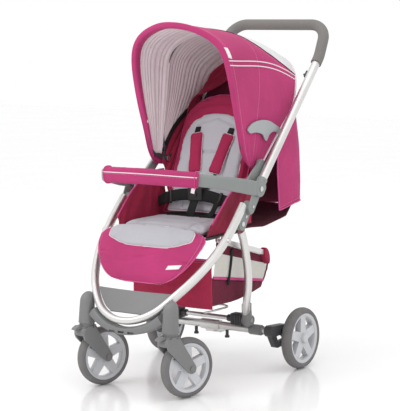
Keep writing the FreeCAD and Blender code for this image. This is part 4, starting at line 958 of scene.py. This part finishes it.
def wing(c, t):
    """c from 1 at the near hood pivot over 0 at the top to -1, t from the canopy inwards to the backrest."""
    s = abs(c)
    vo = lin([0, 0.45, 0.55, 0.65, 0.75, 0.85, 0.95, 1], [0.975, 0.955, 0.90, 0.80, 0.70, 0.60, 0.50, 0.46], s)
    cc = math.copysign(max(s, 0.001), c if c else 1)
    o = on_hood(cc * 0.95, vo, -9.5 if s < 0.9 else -9.5 + (s - 0.9) * 60)
    j = back(math.copysign(141, cc), 398 - 340 * max(0.0, (s - 0.40) / 0.60), -5)
    if s >= 0.45:
        i = j
    else:
        i = on_hood(cc * 0.9, 0.97, -9) + Vector((-math.copysign(0.052 * (s / 0.45), cc), -0.014, -0.050))
        w = max(0.0, (s - 0.26) / 0.19)
        i = i.lerp(j, w * w * (3 - 2 * w))
    p = o.lerp(i, t)
    k = math.sin(math.pi * t)
    p.y += 0.012 * k
    return p + Vector((math.copysign(0.0025, cc) * math.sin(2 * math.pi * (t * 3.2 + s * 1.2)), -0.0035 * math.sin(2 * math.pi * (t * 3.2 + 0.8 * s)), 0)) * min(1, 3 * k)


wing_liner = grid("wing_liner", wing, [i / 60 for i in range(-60, 61)], 30, [M["magenta_painted_shade"]], thick=0.0012)
for sg, nm in ((1, "near"), (-1, "far")):
    pts = [wing(sg * (0.50 + 0.44 * i / 40), 0.05) + Vector((-sg * 0.003, -0.004, 0)) for i in range(41)]
    shell_bits.append(tube("shell_zip_" + nm, pts, (0.0012, 0.0062), M["black"], n=8, up=(-0.5 * sg, -1, 0.0)))

# ---------------------------------------------------------------- backrest
pads = []
sur_o = back_outline(143, 146.5, 12, 412)
surround = pillow("backrest_cover", sur_o, (0, 205), back, -10.5, 16.5, [M["pad_magenta_painted_shade"]], n=150, rings=20, edge=0.42, rough=0.5)
puff(surround, 0.0055, 4.0, cap=0.006)
ins_o = back_outline(116, 122, 14, 344)
insert = pillow("backrest_quilt", ins_o, (0, 175), back, 7, 25.5, [M["grey"]], n=140, rings=18, edge=0.5, rough=0.6)
puff(insert, 0.0045, 4.0, cap=0.005)


def unback(p):
    q = (p - P(0, -168, 466)) * 1000
    return (q.x, q.dot(BD), q.dot(BN))


quilt = [[(-62, 30), (-66, 300)], [(62, 30), (66, 300)], [(-62, 118), (62, 118)], [(-64, 210), (64, 210)], [(-66, 300), (0, 322), (66, 300)]]
groove(insert, unback, quilt, 0.0042, 0.0055, front=14, inward=tuple(-BN))
groove(surround, unback, [[(a, b) for a, b in back_outline(130, 134, 6, 372)] + [(-130, 6)]], 0.0035, 0.005, front=4, inward=tuple(-BN))


def surf(o, a, b, top, to3d, lift=0.0006):
    """Point of the finished pad o under (a, b), lifted a little."""
    n = (to3d(a, b, 1) - to3d(a, b, 0)).normalized()
    st = to3d(a, b, top)
    ok, loc, no, i = o.ray_cast(st, -n, distance=0.08)
    return (loc + n * lift) if ok else to3d(a, b, top - 20)


back_bits = []
pts = hug(insert, [back(a * 1.02, 175 + (b - 175) * 1.015, 17.5) for a, b in even(ins_o, 150)], 0.0004)
back_bits.append(tube("quilt_piping", pts, 0.0015, M["piping"], n=8, closed=True))
for i, ln in enumerate(quilt):
    q = resample([Vector((a, b, 0)) for a, b in ln], 4)
    back_bits.append(stitches("quilt_stitch_%d" % i, [surf(insert, p.x, p.y, 60, back, 0.0004) for p in q], M["thread_grey"]))
pts = hug(surround, [back(a * 1.03, 205 + (b - 205) * 1.03, 2.0) for a, b in even(sur_o, 190)])
back_bits.append(tube("cover_piping", pts, 0.0018, M["pipe_mag"], n=8, closed=True))


def box_outline(w, h, r=8, n=6, c=(0, 0)):
    pts = []
    for cx, cy, a0 in ((w - r, h - r, 0), (-w + r, h - r, 90), (-w + r, -h + r, 180), (w - r, -h + r, 270)):
        for i in range(n + 1):
            t = math.radians(a0 + 90 * i / n)
            pts.append((c[0] + cx + r * math.cos(t), c[1] + cy + r * math.sin(t)))
    return pts


for sg, nm in ((1, "near"), (-1, "far")):
    A, B = (60 * sg, 270), (35 * sg, 140)
    dx, ds = B[0] - A[0], B[1] - A[1]
    L = math.hypot(dx, ds)
    ax, as_ = dx / L, ds / L
    cx, cs = (A[0] + B[0]) / 2, (A[1] + B[1]) / 2

    def pad3(a, b, d, cx=cx, cs=cs, ax=ax, as_=as_):
        return back(cx + as_ * a + ax * b, cs - ax * a + as_ * b, d)
    o = pillow("shoulder_pad_" + nm, box_outline(23, L / 2, 9), (0, 0), pad3, 26.2, 40.5, [M["pad_magenta_painted_shade"]], n=80, rings=10, edge=0.5, rough=0.3)
    puff(o, 0.003, 4.0, cap=0.003)
    pads.append(o)
    keepb(o, "backrest"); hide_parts("shoulder_pads")
    pts = hug(o, [pad3(a * 1.1, b * 1.05, 33.4) for a, b in even(box_outline(23, L / 2, 9), 80)])
    back_bits.append(tube("pad_piping_" + nm, pts, 0.0010, M["piping"], n=8, closed=True))
    c0, c1 = (62.5 * sg, 283), (60 * sg, 268)
    up_ = [back(62.5 * sg + 4 * sg, 304, 20), back(62 * sg, 290, 28), back(60.5 * sg, 275, 31), back(59 * sg, 262, 33)]
    back_bits.append(tube("pad_strap_top_" + nm, resample(up_[1:], 0.003), (0.0009, 0.010), M["black"], n=8, up=tuple(BN)))
    lo = [back(36 * sg, 146, 30), back(33 * sg, 132, 29.5), back(27 * sg, 116, 31.5), back(20 * sg, 100, 35), back(13 * sg, 88, 38)]
    st = tube("shoulder_strap_" + nm, resample(lo, 0.002), (0.0009, 0.012), M["black"], n=8, up=tuple(BN))
    keepb(st, "backrest"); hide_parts("shoulder_straps")
    adj = tube("strap_slider_" + nm, [back((25 + 3) * sg, 121, 31.6), back((25 - 2) * sg, 111, 33.6)], (0.0024, 0.0155), M["black_plastic"], n=12, up=tuple(BN))
    back_bits.append(adj)
keepb(surround, "backrest"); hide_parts("back_surround")
keepb(insert, "backrest"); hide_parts("back_insert")
for o in back_bits:
    keepb(o, "backrest")

# ---------------------------------------------------------------- seat
seat3 = lambda a, b, d: P(a, b, d)
seat_o = [(-150 + 14, -378), (150 - 14, -378), (150, -364), (150, -195), (140, -182), (-140, -182), (-150, -195), (-150, -364)]
cushion = pillow("seat_pad", seat_o, (0, -280), seat3, 450.5, 477.5, [M["grey"]], n=130, rings=18, edge=0.5, rough=0.7)
puff(cushion, 0.0055, 4.0, cap=0.006)
unseat = lambda p: (p.x * 1000, p.y * 1000 - Y0, p.z * 1000)
seat_lines = [[(-95, -368), (-95, -192)], [(95, -368), (95, -192)], [(-95, -312), (95, -312)]]
groove(cushion, unseat, seat_lines, 0.0045, 0.006, front=464, inward=(0, 0, -1))
seat_bits = []
for i, ln in enumerate(seat_lines):
    q = resample([Vector((a, b, 0)) for a, b in ln], 4)
    seat_bits.append(stitches("seat_stitch_%d" % i, [surf(cushion, p.x, p.y, 520, seat3, 0.0004) for p in q], M["thread_grey"]))
seat_bits.append(tube("seat_piping", hug(cushion, [P(a * 1.03, -280 + (b + 280) * 1.03, 464) for a, b in even(seat_o, 130)]), 0.0014, M["grey"], n=8, closed=True))
keepb(cushion, "chassis"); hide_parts("seat_cushion")
for sg, nm in ((1, "near"), (-1, "far")):
    def wall(u, v, sg=sg):
        u *= 1.13
        x, y, z = side_wall(u, v)
        x += (1.6 * math.sin(2 * math.pi * (u * 3.7 + 0.35 * math.sin(4 * v + 1) + 0.3 * math.sin(7 * u))) + 2.4 * fbm((u * 1.2, v * 0.5, sg), 4)) * math.sin(math.pi * v) ** 0.5
        return P(sg * x, y, z + 0.8 * fbm((u, v, sg), 6))
    o = grid("seat_side_" + nm, wall, 60, 20, [M["magenta_painted_shade"]], thick=0.0022, flip=sg < 0)
    cloth(o, True)
    keepb(o, "chassis"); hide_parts("seat_sides")
    seat_bits.append(tube("side_binding_" + nm, [wall(i / 50, 1.0) for i in range(51)], 0.0026, M["pipe_mag"], n=8))

# harness over the lap
def strap(name, pts, half, up, ripple=0.0, where="chassis"):
    q = resample(pts, 0.0025)
    n = len(q)
    q = [p + Vector((0, -ripple * abs(math.sin(9 * i / n)) * math.sin(math.pi * i / n), 0)) for i, p in enumerate(q)]
    return tube(name, q, half, M["black"], n=8, up=up)


lap_pts = [(146, -184, 516), (129, -188, 523.5), (112, -191, 531), (92, -193, 537), (72, -194, 541), (50, -193, 544.5), (24, -191, 547)]
for sg, nm in ((1, "near"), (-1, "far")):
    o = strap("lap_belt_" + nm, [P(sg * x, y, z) for x, y, z in lap_pts], (0.018, 0.0011), (0, 0.25, 1), 0.0025)
    keepb(o, "chassis"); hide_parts("harness_webbing")
    seat_bits.append(tube("lap_slider_" + nm, [P(sg * 96, -194.5, 536), P(sg * 87, -195.2, 538)], (0.0215, 0.0028), M["black_plastic"], n=12, up=(0, 0.25, 1)))
o = strap("crotch_strap", [P(0, -222, 474.5), P(0, -221.6, 484), P(0, -219, 494), P(0, -211, 509), P(0, -199, 528)], (0.0011, 0.015), (0, -1, 0.3))
keepb(o, "chassis"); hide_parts("harness_webbing")
seat_bits.append(strap("belt_tail", [P(84, -197, 535), P(80, -203, 517), P(72, -207, 498), P(58, -214, 482.5), (P(38, -228, 480.5))], (0.0009, 0.0095), (0, -1, 0.6)))
for o in seat_bits:
    keepb(o, "chassis")

# ---------------------------------------------------------------- calf rest
def ap_xy(a, b, d):
    """a across -1..1, b down the apron 0..1, d in mm outwards."""
    u = (a + 1) / 2
    f = lambda u_, v_: Vector(apron(min(1, max(0, u_)), min(1, max(0, v_))))
    e = 4e-3
    p = f(u, b)
    n = (f(u + e, b) - f(u - e, b)).cross(f(u, b + e) - f(u, b - e))
    n = n.normalized() if n.length > 1e-9 else Vector((0, -0.7, 0.7))
    if n.y > 0:
        n = -n
    q = p + n * d
    return P(*q)


ap_o = [(-1 + 2 * i / 24, 0.02) for i in range(25)] + [(1, 0.02 + 0.96 * i / 24) for i in range(1, 24)] + [(1 - 2 * i / 24, 0.985) for i in range(25)] + [(-1, 0.98 - 0.96 * i / 24) for i in range(1, 24)]
apron_o = pillow("calf_cover", ap_o, (0, 0.45), ap_xy, -5.5, 6.0, [M["magenta"]], n=150, rings=16, edge=0.5, w=(150, 190), rough=0.4)
puff(apron_o, 0.0045, 3.0, cap=0.004)
lobe_o = []
for i in range(64):
    t = 2 * math.pi * i / 64
    c, q = math.cos(t), math.sin(t)
    e = 0.42 if q < 0 else 0.75
    lobe_o.append((0.82 * math.copysign(abs(c) ** e, c), 0.20 + (0.185 if q < 0 else 0.265) * math.copysign(abs(q) ** (0.42 if q < 0 else 0.85), q)))
calf = pillow("calf_lobe", lobe_o, (0, 0.20), ap_xy, 5.0, 15.0, [M["grey"]], n=140, rings=16, edge=0.45, w=(180, 190), rough=0.5)
puff(calf, 0.004, 4.0, cap=0.004)
keepb(apron_o, "calf_rest"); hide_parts("calf_apron")
keepb(calf, "calf_rest"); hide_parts("calf_pad")
calf_bits = [tube("calf_piping", hug(apron_o, [ap_xy(a * 1.0, 0.45 + (b - 0.45) * 1.03, 0.4) for a, b in even(ap_o, 200, (150, 190))]), 0.0020, M["pipe_mag"], n=8, closed=True),
             tube("lobe_piping", hug(calf, [ap_xy(a * 1.03, 0.20 + (b - 0.20) * 1.03, 9.4) for a, b in even(lobe_o, 150, (180, 190))]), 0.0013, M["piping"], n=8, closed=True),
             stitches("calf_stitch", [ap_xy(a * 0.94, 0.45 + (b - 0.45) * 0.94, 6.2) for a, b in even(ap_o, 160, (150, 190))], M["thread"], closed=True)]
calf_bits.append(grid("calf_tag", lambda a, b: ap_xy(lin([0, 1], [0.60, 0.86], a), lin([0, 1], [0.665, 0.725], b) - 0.03 * a, 7.6), 6, 6, [M["tag"]], thick=0.0008))
for o in calf_bits:
    keepb(o, "calf_rest")

# ---------------------------------------------------------------- bumper sleeve
BP = [(240.4, -206, 580.5), (239.6, -238, 586), (235, -280, 595), (226, -326, 604.5), (212, -366, 612.5), (190, -397, 618.5), (158, -419, 622.5), (118, -431, 624.5), (60, -437, 626), (0, -439, 626.5)]
BP = BP + [(-x, y, z) for x, y, z in reversed(BP[:-1])]
LB = [0.0]
for a, b in zip(BP, BP[1:]):
    LB.append(LB[-1] + math.dist(a, b))
BS = [smooth_table([(l / LB[-1], p[k]) for l, p in zip(LB, BP)]) for k in range(3)]
sl_n, sl_k = 150, 36
V_, F = [], []
for i in range(sl_n + 1):
    t = 0.29 + 0.42 * i / sl_n
    p = Vector([f(t) for f in BS]); q = Vector([f(t + 1e-3) for f in BS])
    d = (q - p).normalized()
    g = (Vector((0, 0, 1)) - d * d.z).normalized(); w = d.cross(g)
    e_ = min(i, sl_n - i) / sl_n
    k = 1 if e_ > 0.012 else 0.93
    for j in range(sl_k):
        th = 2 * math.pi * j / sl_k
        c, s = math.cos(th), math.sin(th)
        rip = 0.45 * fbm((t * 3, th * 0.2, 0), 9) + 0.5 * math.sin(t * 210) * (1 if e_ < 0.05 else 0.25)
        V_.append(P(*(p + g * ((23.5 * k + rip) * math.copysign(abs(c) ** 0.75, c)) + w * ((15.6 * k + rip) * math.copysign(abs(s) ** 0.75, s)))))
for i in range(sl_n):
    for j in range(sl_k):
        F.append((i * sl_k + j, i * sl_k + (j + 1) % sl_k, (i + 1) * sl_k + (j + 1) % sl_k, (i + 1) * sl_k + j))
sleeve = link_obj("bumper_cover", V_, F, [M["magenta"]])
outward(sleeve)
s_ = sleeve.modifiers.new("c", "SOLIDIFY"); s_.thickness = 0.0035; s_.offset = -1
bake(sleeve)


def bump_pt(t, up, out):
    p = Vector([f(t) for f in BS]); q = Vector([f(t + 1e-3) for f in BS])
    d = (q - p).normalized()
    g = (Vector((0, 0, 1)) - d * d.z).normalized(); w = d.cross(g)
    if w.y > 0:
        w = -w
    return P(*(p + g * up + w * out))


keepb(sleeve, "bumper"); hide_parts("bumper_sleeve")
for o in (tube("bumper_piping", [bump_pt(0.295 + 0.41 * i / 120, 9.0, 15.9) for i in range(121)], 0.0016, M["piping"], n=8),
          stitches("bumper_stitch", [bump_pt(0.295 + 0.41 * i / 140, 4.5, 16.3) for i in range(141)], M["thread"])):
    keepb(o, "bumper")
for t, nm in ((0.302, "near"), (0.698, "far")):
    ring = []
    p = Vector([f(t) for f in BS]); q = Vector([f(t + 1e-3) for f in BS]); d = (q - p).normalized()
    g = (Vector((0, 0, 1)) - d * d.z).normalized(); w = d.cross(g)
    for j in range(36):
        th = 2 * math.pi * j / 36
        c, s = math.cos(th), math.sin(th)
        ring.append(P(*(p + g * (24.2 * math.copysign(abs(c) ** 0.75, c)) + w * (16.3 * math.copysign(abs(s) ** 0.75, s)))))
    keepb(tube("bumper_cuff_" + nm, ring, (0.0012, 0.0032), M["pipe_mag"], n=8, closed=True, up=tuple(d)), "bumper")
tab = tube("pull_tab", resample([bump_pt(0.305, -19, 6), bump_pt(0.307, -27, 9), bump_pt(0.309, -38, 8)], 0.003), (0.0007, 0.006), M["piping"], n=8, up=(0.2, -1, 0))
keepb(tab, "bumper")

# ---------------------------------------------------------------- basket
def tray_p(u, v):
    x, y, z = tray(u, v)
    return P(-x, y, z + 2.0 * fbm((u, v, 5), 4) - 1.0 * abs(math.sin(3 * math.pi * v)))


basket_floor = grid("basket_floor", tray_p, 70, 60, [M["maroon"]], thick=0.0014)
panel_p = lambda u, v: P(*basket_panel(u, v)) + Vector((0, (2.0 * fbm((u * 1.4, v, 7), 4) - 1.6 * math.sin(math.pi * v)) / 1000, 0))
basket_face = grid("basket_face", panel_p, 60, 30, [M["basket_magenta_painted_shade"]], thick=0.0014)
bas_bits = [tube("basket_rim", [panel_p(i / 50, 1.0) for i in range(51)], (0.0034, 0.0022), M["pipe_mag"], n=8, up=(0, 0, 1)),
            stitches("basket_row", [panel_p(i / 80, 0.95) + Vector((0, -0.001, 0)) for i in range(81)], M["thread"])]
nets = []
for sg, nm in ((1, "near"), (-1, "far")):
    def net(u, v, sg=sg):
        x, y, z = mesh_side(u, v)
        return P(sg * (x + 1.5 * fbm((u, v, 8), 5) + 1.5 * math.sin(math.pi * v)), y, z)
    o = grid("basket_net_" + nm, net, 48, 24, [M["net"], M["maroon"]], pick=lambda u, v: 1 if v > 0.74 else 0, flip=sg < 0)
    nets.append(o)
    keepb(o, "chassis"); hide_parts("basket_mesh")
    cloth(o, False)
    bas_bits += [tube("net_top_" + nm, [net(i / 40, 1.0) for i in range(41)], (0.0045, 0.0014), M["maroon"], n=8, up=(0, 0, 1)),
                 tube("net_foot_" + nm, [net(i / 40, 0.0) for i in range(41)], (0.0045, 0.0016), M["pipe_mag"], n=8, up=(0, 0, 1)),
                 tube("net_back_" + nm, [net(1.0, i / 20) for i in range(21)], (0.0014, 0.0045), M["maroon"], n=8, up=(1, 0, 0))]
    a, b = mesh_side((-236 + 316) / 290, 0.0), mesh_side((-236 + 316) / 290, 1.0)
    st = tube("basket_strap_" + nm, resample([P(sg * (a[0] + 2.6), -236, a[2] - 20), P(sg * (a[0] + 4.2), -236, a[2]), P(sg * ((a[0] + b[0]) / 2 + 5.0), -236, (a[2] + b[2]) / 2), P(sg * (b[0] + 3.0), -236, b[2] - 1)], 0.004), (0.0009, 0.0072), M["black"], n=8, up=(sg, 0, 0))
    keepb(st, "chassis"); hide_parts("basket_straps")
    # pocket round the seat bar
    V_, F = [], []
    for i in range(11):
        x = 159.5 + 18 * i / 10
        rr = 1 - 0.10 * abs(i / 5 - 1) ** 4
        for j in range(32):
            th = 2 * math.pi * j / 32
            c, s = math.cos(th), math.sin(th)
            cy, cz, r0 = (-63 + 7 * c * 0 + (-7 if s > 0 else 7) * abs(s), 352 + 12 * s, 14.2 + 2.4 * s)
            V_.append(P(sg * x, cy + r0 * rr * c * 0.98, cz + r0 * rr * s))
    for i in range(10):
        for j in range(32):
            F.append((i * 32 + j, i * 32 + (j + 1) % 32, (i + 1) * 32 + (j + 1) % 32, (i + 1) * 32 + j))
    F.append(tuple(range(31, -1, -1))); F.append(tuple(320 + j for j in range(32)))
    po = outward(link_obj("bar_sock_" + nm, V_, F, [M["magenta_painted_shade"]]))
    keepb(po, "chassis"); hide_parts("bar_pockets")
keepb(basket_floor, "chassis"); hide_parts("basket_tray"); cloth(basket_floor, True)
keepb(basket_face, "chassis"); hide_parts("basket_front"); cloth(basket_face, True)
for o in bas_bits:
    keepb(o, "chassis")

# ---------------------------------------------------------------- hood, shell: the shell and sling ride on the chassis, hood-side pieces are only baked in place
keepb(hood_cloth, "hood"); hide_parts("canopy"); cloth(hood_cloth, True)
keepb(hood_lining, "hood"); cloth(hood_lining, True)
keepb(hood_band, "hood"); cloth(hood_band, True)
for o in hood_bits:
    keepb(o, "hood")
keepb(shell, "chassis"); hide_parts("seat_shell"); cloth(shell, True)
keepb(seat_sling, "chassis"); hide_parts("seat_shell"); cloth(seat_sling, True)
keepb(wing_liner, "hood"); cloth(wing_liner, True)
for o in shell_bits:
    keepb(o, "hood" if "zip" in o.name else "chassis")

# ---------------------------------------------------------------- stage, light, camera
scene.view_settings.view_transform = "Standard"
WORLD = 1.0
fm_ = Mat("floor")
fm_.b.inputs["Specular IOR Level"].default_value = 0.5
fm_.link(fm_.ramp(fm_.noise(1.6, 4), [(0.3, (0.94, 0.94, 0.94)), (0.7, (0.96, 0.96, 0.96))]), fm_.b.inputs["Base Color"])
fm_.link(fm_.math("MULTIPLY_ADD", fm_.noise(3.0, 3), 0.06, 0.14), fm_.b.inputs["Roughness"])
fm_.bump(fm_.noise(2.0, 2), 0.02, 0.0006)
floor = link_obj("floor", [(-9, -9, 0), (9, -9, 0), (9, 9, 0), (-9, 9, 0)], [(0, 1, 2, 3)], [fm_.m], smooth=False)
world = bpy.data.worlds.new("studio")
scene.world = world
world.use_nodes = True
bg = world.node_tree.nodes["Background"]
bg.inputs[0].default_value = (1.0, 1.0, 1.0, 1)
bg.inputs[1].default_value = WORLD


def area(name, loc, at, size, power, color=(1, 1, 1)):
    L = bpy.data.lights.new(name, "AREA")
    L.shape = "RECTANGLE"
    L.size, L.size_y = size
    L.energy = power
    L.color = color
    o = bpy.data.objects.new(name, L)
    scene.collection.objects.link(o)
    o.location = loc
    o.rotation_euler = (Vector(at) - Vector(loc)).to_track_quat("-Z", "Y").to_euler()
    return o


area("key", (-1.2, -2.6, 2.9), (0, 0, 0.5), (1.6, 1.4), 34)
area("fill", (3.4, -1.6, 1.6), (0, 0, 0.5), (2.2, 2.0), 9)
area("top", (0.3, 0.6, 3.4), (0, 0, 0.5), (2.4, 2.4), 16)
cam = bpy.data.cameras.new("camera")
co = bpy.data.objects.new("camera", cam)
scene.collection.objects.link(co)
R_, U_, F_ = Vector((0.824353, 0.565964, -0.011264)), Vector((-0.064206, 0.113253, 0.991489)), Vector((-0.562423, 0.816614, -0.129699))
co.matrix_world = Matrix(((R_.x, U_.x, -F_.x, 2.819246), (R_.y, U_.y, -F_.y, -4.123778), (R_.z, U_.z, -F_.z, 1.160665), (0, 0, 0, 1)))
cam.sensor_width = 36
cam.sensor_fit = "AUTO"
cam.lens = 143.21
cam.clip_end = 60
scene.camera = co
